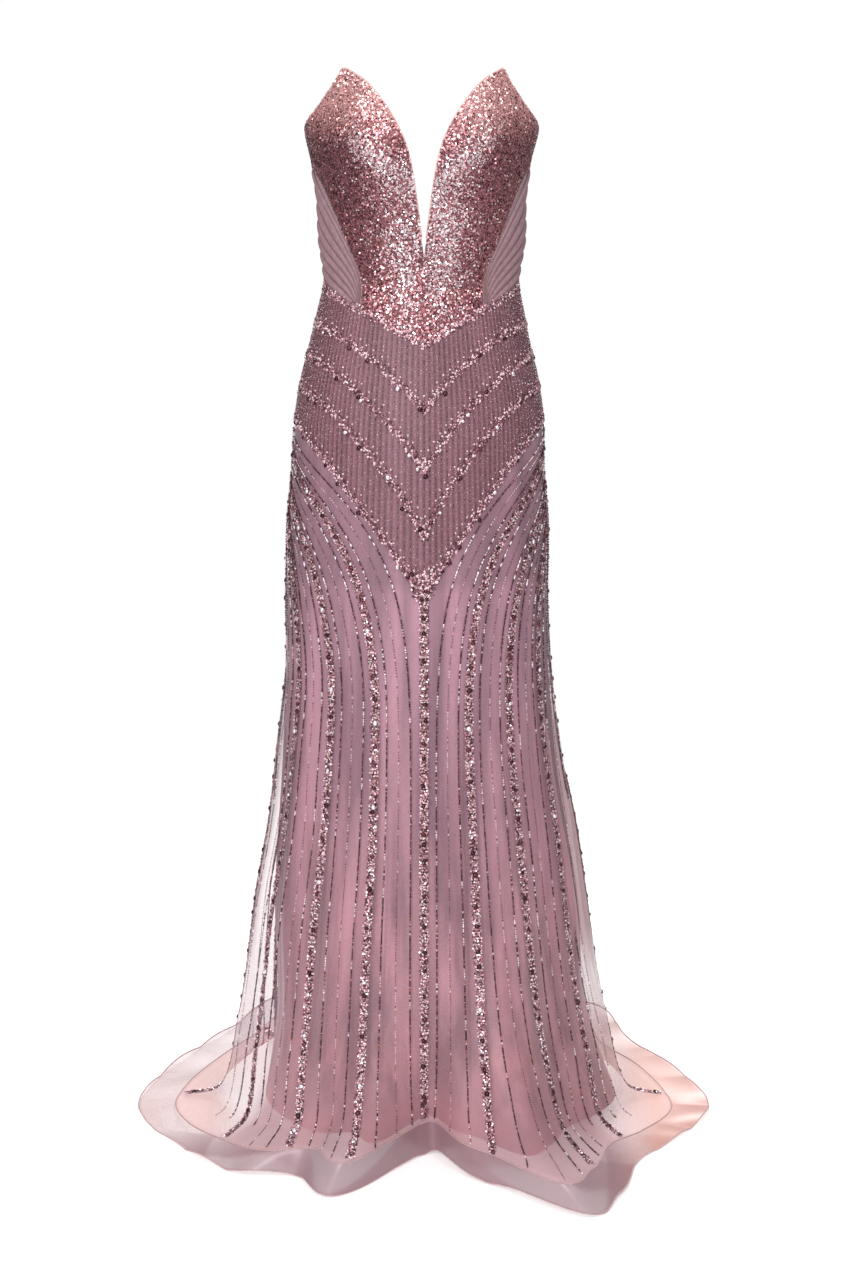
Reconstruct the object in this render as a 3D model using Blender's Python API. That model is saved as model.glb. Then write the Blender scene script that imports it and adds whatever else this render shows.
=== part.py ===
# Fitted formal dress: strapless plunging bodice, sheer side inserts, tulle skirt over a lining, small train.
# Metres, +Z up. The origin is the centre of the waist, the front faces -Y and the wearer's left is +X.
# Every cloth piece is a thin wall on one shared form, so neighbouring pieces meet at the same edge points.

import math
from collections import namedtuple

import bmesh
import bpy
import numpy as np

# Cloth walls and gaps
TULLE_WALL = 0.0010
LINING_WALL = 0.0010
BODICE_WALL = 0.0020
MESH_WALL = 0.0010
HORSEHAIR_WALL = 0.0012
LINING_INSET = 0.0016
SEAM_GAP = 0.0003

# Waist seam: level at the side, dropping to a point at the centre front and the centre back
SEAM_SIDE_Z = -0.009
SEAM_FRONT_DROP = 0.062
SEAM_BACK_DROP = 0.042

# Bust cups: a soft dome each side of the centre front
CUP_DEPTH = 0.020
CUP_X = 0.072
CUP_Z = 0.150
CUP_WIDTH = 0.048
CUP_HEIGHT = 0.060

# Zip at the centre back, from the top of the back to the hip
ZIP_OPENING_HALF = 0.0030
ZIP_CHAIN_HALF = 0.0027
ZIP_TAIL_HALF = 0.0014
ZIP_WALL = 0.0015
ZIP_TOP_Z = 0.012
ZIP_HIP_Z = -0.196
ZIP_END_Z = -0.240
ZIP_ROWS = 22
SLIDER_SIZE = (0.0070, 0.0030, 0.0090)
SLIDER_Z = 0.005
SLIDER_GAP = 0.0005
SLIDER_CORNER = 0.0008
EAR_INNER_X = 0.00150
EAR_THICKNESS = 0.00090
EAR_HALF = 0.0013
PIN_RADIUS = 0.0006
PIN_HEIGHT = 0.0052
EYE_RADIUS = 0.00095
EYE_OUTER_RADIUS = 0.00145
EYE_HALF_WIDTH = 0.00115
PULL_LENGTH = 0.022
PULL_HALF_WIDTH = 0.0030
PULL_WALL = 0.0010
PULL_CLEARANCE = 0.0015

# The form, level by level: half widths to the wearer's right (-X) and left (+X), depths to front and back,
# and how strongly the hem's folds show there.
Level = namedtuple("Level", "z right left front back fold")
LEVELS = (
    Level(0.260, 0.1400, 0.1360, 0.1040, 0.0840, 0.00),
    Level(0.215, 0.1425, 0.1375, 0.1100, 0.0880, 0.00),
    Level(0.183, 0.1432, 0.1376, 0.1120, 0.0910, 0.00),
    Level(0.145, 0.1358, 0.1285, 0.1080, 0.0920, 0.00),
    Level(0.107, 0.1290, 0.1222, 0.1000, 0.0890, 0.00),
    Level(0.050, 0.1262, 0.1212, 0.0910, 0.0850, 0.00),
    Level(0.000, 0.1215, 0.1150, 0.0850, 0.0830, 0.00),
    Level(-0.030, 0.1285, 0.1205, 0.0885, 0.0880, 0.00),
    Level(-0.072, 0.1392, 0.1290, 0.0945, 0.0980, 0.00),
    Level(-0.122, 0.1520, 0.1410, 0.1020, 0.1100, 0.00),
    Level(-0.171, 0.1603, 0.1478, 0.1085, 0.1190, 0.00),
    Level(-0.222, 0.1640, 0.1490, 0.1130, 0.1215, 0.00),
    Level(-0.300, 0.1710, 0.1550, 0.1160, 0.1180, 0.00),
    Level(-0.400, 0.1745, 0.1560, 0.1180, 0.1120, 0.00),
    Level(-0.479, 0.1750, 0.1606, 0.1210, 0.1120, 0.00),
    Level(-0.585, 0.1877, 0.1735, 0.1300, 0.1220, 0.00),
    Level(-0.693, 0.2018, 0.1914, 0.1430, 0.1420, 0.03),
    Level(-0.803, 0.2208, 0.2053, 0.1600, 0.1720, 0.10),
    Level(-0.900, 0.2300, 0.2175, 0.1820, 0.2120, 0.22),
    Level(-0.960, 0.2343, 0.2267, 0.2000, 0.2450, 0.38),
)

# Rows of the skirt that hang free, then the rows that reach the floor and run out over it, by lift above it.
# The front of each floor row hangs higher than its sides and back, which lie down as the train.
FLOOR_Z = -1.080
SKIRT_ROW_Z = (-0.100, -0.196, -0.300, -0.420, -0.540, -0.660, -0.770, -0.870, -0.960)
FloorRow = namedtuple("FloorRow", "lift_front lift_back right left front back fold")
TOUCH = FloorRow(0.0700, 0.0140, 0.250, 0.250, 0.228, 0.305, 0.70)
TRAIN = FloorRow(0.0540, 0.0055, 0.270, 0.270, 0.242, 0.345, 0.88)
BAND_TOP = FloorRow(0.0440, 0.0035, 0.288, 0.288, 0.250, 0.372, 0.96)
BAND_MIDDLE = FloorRow(0.0220, 0.0030, 0.309, 0.309, 0.256, 0.396, 0.98)
HEM = FloorRow(0.0015, 0.0025, 0.330, 0.330, 0.260, 0.420, 1.00)
TULLE_FLOOR_ROWS = (TOUCH, TRAIN, BAND_TOP)
BAND_ROWS = (BAND_MIDDLE, HEM)

# Lining rows below the thigh, where it hangs inside the tulle; its hem follows the folds and stays off the floor.
LINING_OUTLINE_Z = (-0.100, -0.196, -0.300, -0.420)
LINING_ROWS = (
    FloorRow(0.480, 0.480, 0.1815, 0.1690, 0.1245, 0.1130, 0.00),
    FloorRow(0.280, 0.280, 0.1930, 0.2000, 0.1500, 0.1550, 0.08),
    FloorRow(0.120, 0.120, 0.1860, 0.2080, 0.1870, 0.1900, 0.35),
    FloorRow(0.047, 0.016, 0.1890, 0.2295, 0.2150, 0.2150, 0.75),
)

# The hem's plan: how far each fold reaches, against the plain oval, by angle from the centre front.
# Positive angles go to the wearer's left.
Fold = namedtuple("Fold", "angle reach")
FOLDS = (
    Fold(-158, 0.97),
    Fold(-138, 1.03),
    Fold(-122, 0.98),
    Fold(-111, 1.015),
    Fold(-84, 1.153),
    Fold(-70, 1.135),
    Fold(-56, 1.112),
    Fold(-38, 1.110),
    Fold(-28, 1.02),
    Fold(-17, 1.155),
    Fold(-7, 0.82),
    Fold(-1, 0.69),
    Fold(5, 0.68),
    Fold(10, 0.90),
    Fold(17, 1.09),
    Fold(24, 1.42),
    Fold(33, 1.32),
    Fold(46, 1.12),
    Fold(62, 1.105),
    Fold(83, 1.150),
    Fold(103, 1.05),
    Fold(117, 0.97),
    Fold(128, 1.03),
    Fold(143, 0.98),
    Fold(160, 1.04),
    Fold(180, 1.03),
)

# Rows of the bodice front: its inner edge (centre seam, then the plunging neckline) by x and z,
# and its outer edge (side insert, underarm seam, then the slanted top edge) by angle and z.
FrontRow = namedtuple("FrontRow", "inner_x inner_z outer_angle outer_z")
FRONT_ROWS = (
    FrontRow(0.0000, -0.071, 36.0, -0.0313),
    FrontRow(0.0000, -0.035, 37.5, 0.0000),
    FrontRow(0.0000, 0.000, 40.5, 0.0250),
    FrontRow(0.0000, 0.031, 46.0, 0.0500),
    FrontRow(0.0030, 0.057, 51.5, 0.0700),
    FrontRow(0.0062, 0.083, 58.0, 0.0900),
    FrontRow(0.0098, 0.110, 66.0, 0.1130),
    FrontRow(0.0128, 0.130, 75.0, 0.1280),
    FrontRow(0.0170, 0.152, 89.2, 0.1400),
    FrontRow(0.0235, 0.173, 90.0, 0.1440),
    FrontRow(0.0340, 0.195, 90.0, 0.1800),
    FrontRow(0.0480, 0.216, 66.0, 0.2020),
    FrontRow(0.0680, 0.238, 51.0, 0.2290),
    FrontRow(0.0915, 0.2525, 43.0, 0.2515),
)
INSERT_TOP_ROW = 8
UNDERARM_ROW = 10
SEAM_BOW = (1.0, 0.6, 0.3)
FRONT_COLUMNS = 12
INSERT_COLUMNS = 9
BACK_WAIST_COLUMNS = 6
BACK_ROW_PARTS = (0.0, 0.1, 0.4, 0.7, 1.0)
BACK_TOP_Z = 0.012
BACK_TOP_CURVE = 1.15
SKIRT_COLUMNS = 60

# Neckline binding: a narrow folded strip just outside the edge of the bodice
BINDING_WIDTH = 0.0016
BINDING_WALL = 0.0020
BINDING_CLEARANCE = 0.0005
BINDING_FIRST_ROW = 4

MAUVE = (0.42, 0.24, 0.28)
DUSTY_ROSE = (0.50, 0.29, 0.32)
PALE_MAUVE = (0.62, 0.46, 0.50)
PALE_PEACH = (0.80, 0.60, 0.56)
GREY_LAVENDER = (0.58, 0.48, 0.51)
ROSE_METAL = (0.55, 0.36, 0.34)


def smooth(x, knots, values):
    """Cubic curve through the knots, its slope at each one that of the line between the two beside it."""
    knots = np.asarray(knots, float)
    values = np.asarray(values, float)
    slopes = np.gradient(values, knots)
    place = np.clip(np.searchsorted(knots, x, side="right") - 1, 0, len(knots) - 2)
    step = knots[place + 1] - knots[place]
    t = np.clip((x - knots[place]) / step, 0.0, 1.0)
    start = (1 + 2 * t) * (1 - t) ** 2 * values[place] + t * (1 - t) ** 2 * step * slopes[place]
    end = t * t * (3 - 2 * t) * values[place + 1] - t * t * (1 - t) * step * slopes[place + 1]
    return start + end


def column(rows, name):
    return np.array([getattr(row, name) for row in rows], float)


def fold_reach(angle):
    """Reach of the hem's folds at each angle in degrees, running on smoothly past the centre back."""
    angles, reach = column(FOLDS, "angle"), column(FOLDS, "reach")
    turned = (np.asarray(angle, float) + 180.0) % 360.0 - 180.0
    knots = np.concatenate([angles[-3:] - 360.0, angles, angles[:3] + 360.0])
    return smooth(turned, knots, np.concatenate([reach[-3:], reach, reach[:3]]))


def oval(angle, right, left, front, back, fold):
    """x and y on a ring of four quarter ovals, pushed in and out by the folds."""
    radians = np.radians(angle)
    across, along = np.sin(radians), np.cos(radians)
    grow = 1.0 + fold * (fold_reach(angle) - 1.0)
    x = np.where(across >= 0, left, right) * across * grow
    y = -np.where(along >= 0, front, back) * along * grow
    return x, y


def form_point(angle, z):
    """Points of the form at angles in degrees from the centre front and heights z, cups included."""
    angle, z = np.broadcast_arrays(np.asarray(angle, float), np.asarray(z, float))
    levels = LEVELS[::-1]
    knots = column(levels, "z")
    sizes = [smooth(z, knots, column(levels, name)) for name in Level._fields[1:]]
    x, y = oval(angle, *sizes)
    cup = CUP_DEPTH * np.exp(-(((np.abs(x) - CUP_X) / CUP_WIDTH) ** 2) - ((z - CUP_Z) / CUP_HEIGHT) ** 2)
    y = y - cup * np.maximum(np.cos(np.radians(angle)), 0.0)
    return np.stack([x, y, z], axis=-1)


def form_normal(angle, z):
    """Outward unit normals of the form, from a small step each way."""
    step_angle, step_z = 0.5, 0.001
    round_it = form_point(angle + step_angle, z) - form_point(angle - step_angle, z)
    up_it = form_point(angle, z + step_z) - form_point(angle, z - step_z)
    return unit(np.cross(round_it, up_it))


def unit(vectors):
    return vectors / np.linalg.norm(vectors, axis=-1, keepdims=True)


def seam_z(angle):
    """Height of the waist seam: a parabola from the side down to the centre front and centre back."""
    away = np.abs((np.asarray(angle, float) + 180.0) % 360.0 - 180.0)
    front = SEAM_FRONT_DROP * np.clip(1.0 - away / 90.0, 0.0, 1.0) ** 2
    back = SEAM_BACK_DROP * np.clip(away / 90.0 - 1.0, 0.0, 1.0) ** 2
    return SEAM_SIDE_Z - front - back


def floor_row(angle, row):
    """A ring of the lower skirt: high at the front and lying down towards the sides and back."""
    x, y = oval(angle, row.right, row.left, row.front, row.back, row.fold)
    frontness = np.clip(np.cos(np.radians(angle)), 0.0, 1.0) ** 2
    lift = row.lift_back + (row.lift_front - row.lift_back) * frontness
    return np.stack([x, y, FLOOR_Z + lift], axis=-1)


def ring_normals(rings):
    """Outward unit normals of a stack of closed rings, rows running downwards."""
    round_it = np.roll(rings, -1, axis=1) - np.roll(rings, 1, axis=1)
    down_it = np.gradient(rings, axis=0)
    return unit(np.cross(down_it, round_it))


def pull_in(points, start, end):
    """Moves the first and last columns of a panel towards its middle by level distances, row by row."""
    points = points.copy()
    for edge, beside, gap in ((0, 1, start), (-1, -2, end)):
        inward = points[:, beside] - points[:, edge]
        level = np.linalg.norm(inward[:, :2], axis=1)
        points[:, edge] += inward * (gap / level)[:, None]
    return points


def make_material(name, colour, roughness, metallic, alpha=1.0):
    material = bpy.data.materials.new(name)
    material.use_nodes = True
    shader = material.node_tree.nodes["Principled BSDF"]
    shader.inputs["Base Color"].default_value = (*colour, 1.0)
    shader.inputs["Roughness"].default_value = roughness
    shader.inputs["Metallic"].default_value = metallic
    shader.inputs["Alpha"].default_value = alpha
    return material


def add_object(name, mesh, material):
    mesh.materials.append(material)
    obj = bpy.data.objects.new(name, mesh)
    bpy.context.scene.collection.objects.link(obj)
    return obj


def add_panel(name, outer, inner, material):
    """A cloth wall between two grids of points, closed round its rim, its faces pointing outwards."""
    rows, columns = outer.shape[:2]
    count = rows * columns
    index = np.arange(count).reshape(rows, columns)
    a, b = index[:-1, :-1].ravel(), index[:-1, 1:].ravel()
    c, d = index[1:, 1:].ravel(), index[1:, :-1].ravel()
    front = np.concatenate([np.stack([a, d, c], 1), np.stack([a, c, b], 1)])
    rim = np.concatenate([index[0, :], index[1:, -1], index[-1, -2::-1], index[-2:0:-1, 0]])
    after = np.roll(rim, -1)
    sides = np.concatenate([np.stack([rim, after, after + count], 1), np.stack([rim, after + count, rim + count], 1)])
    faces = np.concatenate([front, front[:, ::-1] + count, sides])
    points = np.concatenate([outer.reshape(-1, 3), inner.reshape(-1, 3)])
    if np.linalg.det(points[faces] - points.mean(axis=0)).sum() < 0:
        faces = faces[:, ::-1]
    mesh = bpy.data.meshes.new(name)
    mesh.from_pydata(points.tolist(), [], faces.tolist())
    mesh.shade_smooth()
    mesh.set_sharp_from_angle(angle=math.radians(50))
    return add_object(name, mesh, material)


def front_grid(side):
    """Angles and heights of the bodice front on one side, from its bottom row to its tip."""
    rows = len(FRONT_ROWS)
    inner_x, inner_z = column(FRONT_ROWS, "inner_x"), column(FRONT_ROWS, "inner_z")
    outer_angle, outer_z = column(FRONT_ROWS, "outer_angle"), column(FRONT_ROWS, "outer_z")
    levels = LEVELS[::-1]
    half_width = smooth(inner_z, column(levels, "z"), column(levels, "left" if side > 0 else "right"))
    inner_angle = np.degrees(np.arcsin(inner_x / half_width))
    across = np.linspace(0.0, 1.0, FRONT_COLUMNS + 1)
    angle = inner_angle[:, None] + (outer_angle - inner_angle)[:, None] * across
    z = inner_z[:, None] + (outer_z - inner_z)[:, None] * across
    bow = np.zeros(rows)
    bow[: len(SEAM_BOW)] = SEAM_BOW
    z = z + bow[:, None] * (seam_z(angle[0]) - z[0])
    return angle * side, z


def insert_grid(side):
    """The side insert: its front edge is the bodice front's, and its back edge mirrors it about the side."""
    rows = FRONT_ROWS[: INSERT_TOP_ROW + 1]
    front, height = column(rows, "outer_angle"), column(rows, "outer_z")
    across = np.linspace(0.0, 1.0, INSERT_COLUMNS + 1)
    angle = front[:, None] + (180.0 - 2 * front)[:, None] * across
    bow = np.zeros(len(rows))
    bow[: len(SEAM_BOW)] = SEAM_BOW
    z = height[:, None] + bow[:, None] * (seam_z(angle[0]) - height[0])
    return angle * side, z


def back_top_z(angle):
    """Height of the low back's top edge, from the underarm down to the zip."""
    left_to_go = 1.0 - (angle - 90.0) / 90.0
    return BACK_TOP_Z + (FRONT_ROWS[UNDERARM_ROW].outer_z - BACK_TOP_Z) * left_to_go**BACK_TOP_CURVE


def back_grid(side):
    """The bodice back: up from the insert's back edge and the waist seam to the top edge of the back."""
    insert_angle, insert_z = insert_grid(1)
    waist = np.linspace(insert_angle[0, -1], 180.0, BACK_WAIST_COLUMNS + 1)[1:]
    low_angle = np.concatenate([insert_angle[::-1, -1], waist])
    low_z = np.concatenate([insert_z[::-1, -1], seam_z(waist)])
    part = np.array(BACK_ROW_PARTS)[:, None]
    angle = np.repeat(low_angle[None], len(part), axis=0)
    angle[1:, 0] = 90.0
    return angle * side, low_z + (back_top_z(angle) - low_z) * part


def add_form_panel(name, angle, z, wall, start_gap, end_gap, material):
    """A bodice piece on the form: its bottom row stands half a seam gap above the waist seam."""
    z = z.copy()
    z[0] += SEAM_GAP / 2
    outer = form_point(angle, z)
    inner = outer - form_normal(angle, z) * wall
    panel = add_panel(name, pull_in(outer, start_gap, end_gap), pull_in(inner, start_gap, end_gap), material)
    return panel, outer - form_normal(angle, z) * wall / 2


def add_bodice():
    sequins = make_material("sequined cloth", DUSTY_ROSE, 0.35, 0.30)
    sheer = make_material("side mesh", PALE_MAUVE, 0.70, 0.0, 0.6)
    binding = make_material("binding", PALE_PEACH, 0.60, 0.0)
    for side, word in ((1, "left"), (-1, "right")):
        half = SEAM_GAP / 2
        angle, z = front_grid(side)
        _, front_middle = add_form_panel("bodice_front_" + word, angle, z, BODICE_WALL, half, half, sequins)
        angle, z = insert_grid(side)
        add_form_panel("side_insert_" + word, angle, z, MESH_WALL, SEAM_GAP, SEAM_GAP, sheer)
        angle, z = back_grid(side)
        _, back_middle = add_form_panel(
            "bodice_back_" + word, angle, z, BODICE_WALL, half, ZIP_OPENING_HALF, sequins
        )
        neck, top, back = front_middle[BINDING_FIRST_ROW:], front_middle[:UNDERARM_ROW - 1:-1], back_middle[::-1]
        path = np.concatenate([neck[:, 0], top[:, -1], back[0, 1:-1]])
        inside = np.concatenate([neck[:, 1], top[:, -2], back[1, 1:-1]])
        add_binding("neckline_binding_" + word, path, inside, binding)


def add_binding(name, path, inside, material):
    """A strip of rectangular section carried along the neckline, on the side away from the points inside."""
    along = unit(np.gradient(path, axis=0))
    away = path - inside
    away = unit(away - along * np.sum(away * along, axis=1, keepdims=True))
    face = np.cross(away, along)
    near, far = BINDING_CLEARANCE, BINDING_CLEARANCE + BINDING_WIDTH
    half = BINDING_WALL / 2
    outer = np.stack([path + away * near + face * half, path + away * far + face * half], axis=1)
    inner = np.stack([path + away * near - face * half, path + away * far - face * half], axis=1)
    add_panel(name, outer, inner, material)


def overlay_rings():
    """All rings of the tulle and the hem band, from just under the waist seam to the hem."""
    angle = np.arange(SKIRT_COLUMNS) * 360.0 / SKIRT_COLUMNS - 180.0
    rings = [form_point(angle, seam_z(angle) - SEAM_GAP / 2)]
    rings += [form_point(angle, z) for z in SKIRT_ROW_Z]
    rings += [floor_row(angle, row) for row in TULLE_FLOOR_ROWS + BAND_ROWS]
    return np.array(rings)


def lining_rings():
    """Rings of the lining: close inside the tulle down to the thigh, then hanging on its own."""
    angle = np.arange(SKIRT_COLUMNS) * 360.0 / SKIRT_COLUMNS - 180.0
    heights = [seam_z(angle) - SEAM_GAP / 2] + [np.full(SKIRT_COLUMNS, z) for z in LINING_OUTLINE_Z]
    rings = [form_point(angle, z) - form_normal(angle, z) * LINING_INSET for z in heights]
    rings += [floor_row(angle, row) for row in LINING_ROWS]
    return np.array(rings)


def columns_between(first, last):
    """Column numbers of a ring from one angle to another, in degrees from the centre front."""
    degree = 360.0 / SKIRT_COLUMNS
    start, end = round((first + 180.0) / degree), round((last + 180.0) / degree)
    return np.arange(start, end + 1) % SKIRT_COLUMNS


def zip_gaps(rings):
    """Half the opening at the centre back, row by row: wide beside the zip, a plain seam below it."""
    height = rings[:, 0, 2]
    return np.where(height > ZIP_HIP_Z - 0.001, ZIP_OPENING_HALF, SEAM_GAP / 2)


def add_skirt_pieces(prefix, outer, inner, material, centre_gap):
    """One front and two back pieces cut from a stack of rings, with the given gap at the centre back."""
    side_gap = np.full(len(outer), SEAM_GAP / 2)
    pieces = (
        ("_front", -90.0, 90.0, side_gap, side_gap),
        ("_back_left", 90.0, 180.0, side_gap, centre_gap),
        ("_back_right", -180.0, -90.0, centre_gap, side_gap),
    )
    for word, first, last, start, end in pieces:
        pick = columns_between(first, last)
        add_panel(prefix + word, pull_in(outer[:, pick], start, end), pull_in(inner[:, pick], start, end), material)


def add_skirt():
    tulle = make_material("beaded tulle", MAUVE, 0.55, 0.0, 0.7)
    satin = make_material("lining satin", DUSTY_ROSE, 0.45, 0.0)
    horsehair = make_material("horsehair band", GREY_LAVENDER, 0.40, 0.0, 0.5)
    rings = overlay_rings()
    normals = ring_normals(rings)
    band_row = len(SKIRT_ROW_Z) + len(TULLE_FLOOR_ROWS)
    tulle_outer, band_outer = rings[: band_row + 1].copy(), rings[band_row:].copy()
    tulle_outer[-1] += unit(rings[band_row - 1] - rings[band_row]) * SEAM_GAP
    band_outer[0] += unit(rings[band_row + 1] - rings[band_row]) * SEAM_GAP
    tulle_inner = tulle_outer - normals[: band_row + 1] * TULLE_WALL
    add_skirt_pieces("skirt_tulle", tulle_outer, tulle_inner, tulle, zip_gaps(tulle_outer))
    lining = lining_rings()
    lining_inner = lining - ring_normals(lining) * LINING_WALL
    add_skirt_pieces("skirt_lining", lining, lining_inner, satin, zip_gaps(lining))
    band_inner = band_outer - normals[band_row:] * HORSEHAIR_WALL
    add_skirt_pieces("hem_band", band_outer, band_inner, horsehair, np.full(len(band_outer), SEAM_GAP / 2))


def add_zip_chain(material):
    """The zip's teeth and tape as one strip down the centre back, narrowing below its end."""
    z = np.linspace(ZIP_TOP_Z, ZIP_END_Z, ZIP_ROWS)
    below = np.clip((ZIP_HIP_Z - z) / (ZIP_HIP_Z - ZIP_END_Z), 0.0, 1.0)
    half = ZIP_CHAIN_HALF + (ZIP_TAIL_HALF - ZIP_CHAIN_HALF) * below
    middle = form_point(180.0, z)
    normal = form_normal(180.0, z)
    edge = np.stack([half, 0 * half, 0 * half], axis=-1)
    outer = np.stack([middle - edge, middle + edge], axis=1)
    inner = outer - normal[:, None] * ZIP_WALL
    add_panel("zip_chain", outer, inner, material)


def add_helper(name, mesh, location, rotation):
    """A shape that only cuts or joins: kept out of the model."""
    helper = bpy.data.objects.new(name, mesh)
    helper.hide_render = True
    helper.display_type = "WIRE"
    helper.location = location
    helper.rotation_euler = rotation
    bpy.context.scene.collection.objects.link(helper)
    return helper


def box_mesh(name, size):
    mesh = bpy.data.meshes.new(name)
    shape = bmesh.new()
    bmesh.ops.create_cube(shape, size=1.0)
    bmesh.ops.scale(shape, vec=size, verts=shape.verts)
    shape.to_mesh(mesh)
    shape.free()
    return mesh


def rod_mesh(name, radius, length, sides):
    """A cylinder along X."""
    mesh = bpy.data.meshes.new(name)
    shape = bmesh.new()
    bmesh.ops.create_cone(
        shape, cap_ends=True, segments=sides, radius1=radius, radius2=radius, depth=length
    )
    turn = np.array([[0, 0, 1], [0, 1, 0], [-1, 0, 0]], float)
    for vertex in shape.verts:
        vertex.co = turn @ np.array(vertex.co)
    shape.to_mesh(mesh)
    shape.free()
    return mesh


def join_with(obj, helper, operation):
    modifier = obj.modifiers.new(helper.name, "BOOLEAN")
    modifier.operation = operation
    modifier.object = helper


def slider_place():
    """The slider's place on the zip, the outward direction there and how far it leans from upright."""
    ends = form_point(180.0, SLIDER_Z + np.array([0.5, -0.5]) * SLIDER_SIZE[2])
    lean = math.atan2(ends[1, 1] - ends[0, 1], SLIDER_SIZE[2])
    outward = np.array([0.0, math.cos(lean), math.sin(lean)])
    return ends.mean(axis=0) + outward * SLIDER_GAP, outward, lean


def add_slider(material):
    """The slider's body, with two ears and the pin that carries the pull tab."""
    place, outward, lean = slider_place()
    body = add_object("zip_slider", box_mesh("zip_slider", SLIDER_SIZE), material)
    body.location = place + outward * SLIDER_SIZE[1] / 2
    body.rotation_euler = (lean, 0.0, 0.0)
    corner = body.modifiers.new("round", "BEVEL")
    corner.width = SLIDER_CORNER
    corner.segments = 2
    ear_foot, ear_top = SLIDER_SIZE[1] / 2, PIN_HEIGHT + EAR_HALF
    ear_size = (EAR_THICKNESS, ear_top - ear_foot, 2 * EAR_HALF)
    for side in (-1, 1):
        centre = place + outward * (ear_top + ear_foot) / 2
        centre[0] += side * (EAR_INNER_X + EAR_THICKNESS / 2)
        ear = add_helper("ear", box_mesh("ear", ear_size), centre, (lean, 0.0, 0.0))
        join_with(body, ear, "UNION")
    pin_length = 2 * (EAR_INNER_X + EAR_THICKNESS / 2)
    pin = add_helper("pin", rod_mesh("pin", PIN_RADIUS, pin_length, 12), place + outward * PIN_HEIGHT, (0, 0, 0))
    join_with(body, pin, "UNION")


def pull_outline():
    """The pull tab's outline: a neck between the ears that widens to a round end."""
    half_turn = np.linspace(0.0, math.pi, 9)
    end_z = -PULL_LENGTH + PULL_HALF_WIDTH
    neck = [(-EYE_HALF_WIDTH, -0.0008), (-EYE_HALF_WIDTH, -0.0026), (-PULL_HALF_WIDTH, -0.0070)]
    arc = [(-PULL_HALF_WIDTH * math.cos(t), end_z - PULL_HALF_WIDTH * math.sin(t)) for t in half_turn]
    return neck + arc + [(-x, z) for x, z in neck[::-1]]


def add_pull(material):
    """The pull tab, hanging from the slider's pin, its origin on the pin's axis."""
    place, outward, _ = slider_place()
    pin = place + outward * PIN_HEIGHT
    end = form_point(180.0, pin[2] - PULL_LENGTH)
    lean = math.atan2(max(end[1] + PULL_CLEARANCE - pin[1], 0.0), PULL_LENGTH)
    mesh = bpy.data.meshes.new("zip_pull")
    shape = bmesh.new()
    corners = [shape.verts.new((x, PULL_WALL / 2, z)) for x, z in pull_outline()]
    face = shape.faces.new(corners)
    raised = bmesh.ops.extrude_face_region(shape, geom=[face])
    moved = [part for part in raised["geom"] if isinstance(part, bmesh.types.BMVert)]
    bmesh.ops.translate(shape, vec=(0.0, -PULL_WALL, 0.0), verts=moved)
    bmesh.ops.recalc_face_normals(shape, faces=shape.faces)
    shape.to_mesh(mesh)
    shape.free()
    pull = add_object("zip_pull", mesh, material)
    pull.location = pin
    pull.rotation_euler = (lean, 0.0, 0.0)
    eye = add_helper("eye", rod_mesh("eye", EYE_OUTER_RADIUS, 2 * EYE_HALF_WIDTH, 16), pull.location, (0, 0, 0))
    hole = add_helper("hole", rod_mesh("hole", EYE_RADIUS, 4 * EYE_HALF_WIDTH, 16), pull.location, (0, 0, 0))
    join_with(pull, eye, "UNION")
    join_with(pull, hole, "DIFFERENCE")


def main():
    for obj in list(bpy.data.objects):
        bpy.data.objects.remove(obj, do_unlink=True)
    add_bodice()
    add_skirt()
    add_zip_chain(make_material("zip tape", MAUVE, 0.60, 0.0))
    metal = make_material("zip metal", ROSE_METAL, 0.30, 1.0)
    add_slider(metal)
    add_pull(metal)


main()
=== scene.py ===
# Fitted formal dress: its cloth, beads and sequins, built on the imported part.
# Metres, +Z up. The front faces -Y, the wearer's left is +X and the origin is the centre of the waist.

import math

import bpy
import numpy as np
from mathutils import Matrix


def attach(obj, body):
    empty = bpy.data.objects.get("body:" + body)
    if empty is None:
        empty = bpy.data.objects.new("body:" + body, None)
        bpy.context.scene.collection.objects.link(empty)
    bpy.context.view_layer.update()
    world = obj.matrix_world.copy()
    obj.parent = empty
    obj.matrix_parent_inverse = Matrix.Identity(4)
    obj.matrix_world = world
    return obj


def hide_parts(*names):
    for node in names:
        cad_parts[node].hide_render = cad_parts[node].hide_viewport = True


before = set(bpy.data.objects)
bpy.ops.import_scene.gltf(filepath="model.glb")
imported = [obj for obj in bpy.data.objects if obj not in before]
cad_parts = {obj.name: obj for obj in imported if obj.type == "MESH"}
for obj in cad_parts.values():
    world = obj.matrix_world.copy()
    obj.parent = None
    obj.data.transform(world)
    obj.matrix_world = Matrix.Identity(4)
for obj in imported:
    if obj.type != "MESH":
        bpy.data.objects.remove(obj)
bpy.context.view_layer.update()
rng = np.random.default_rng(8)
print("stage: frame loaded")

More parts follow.
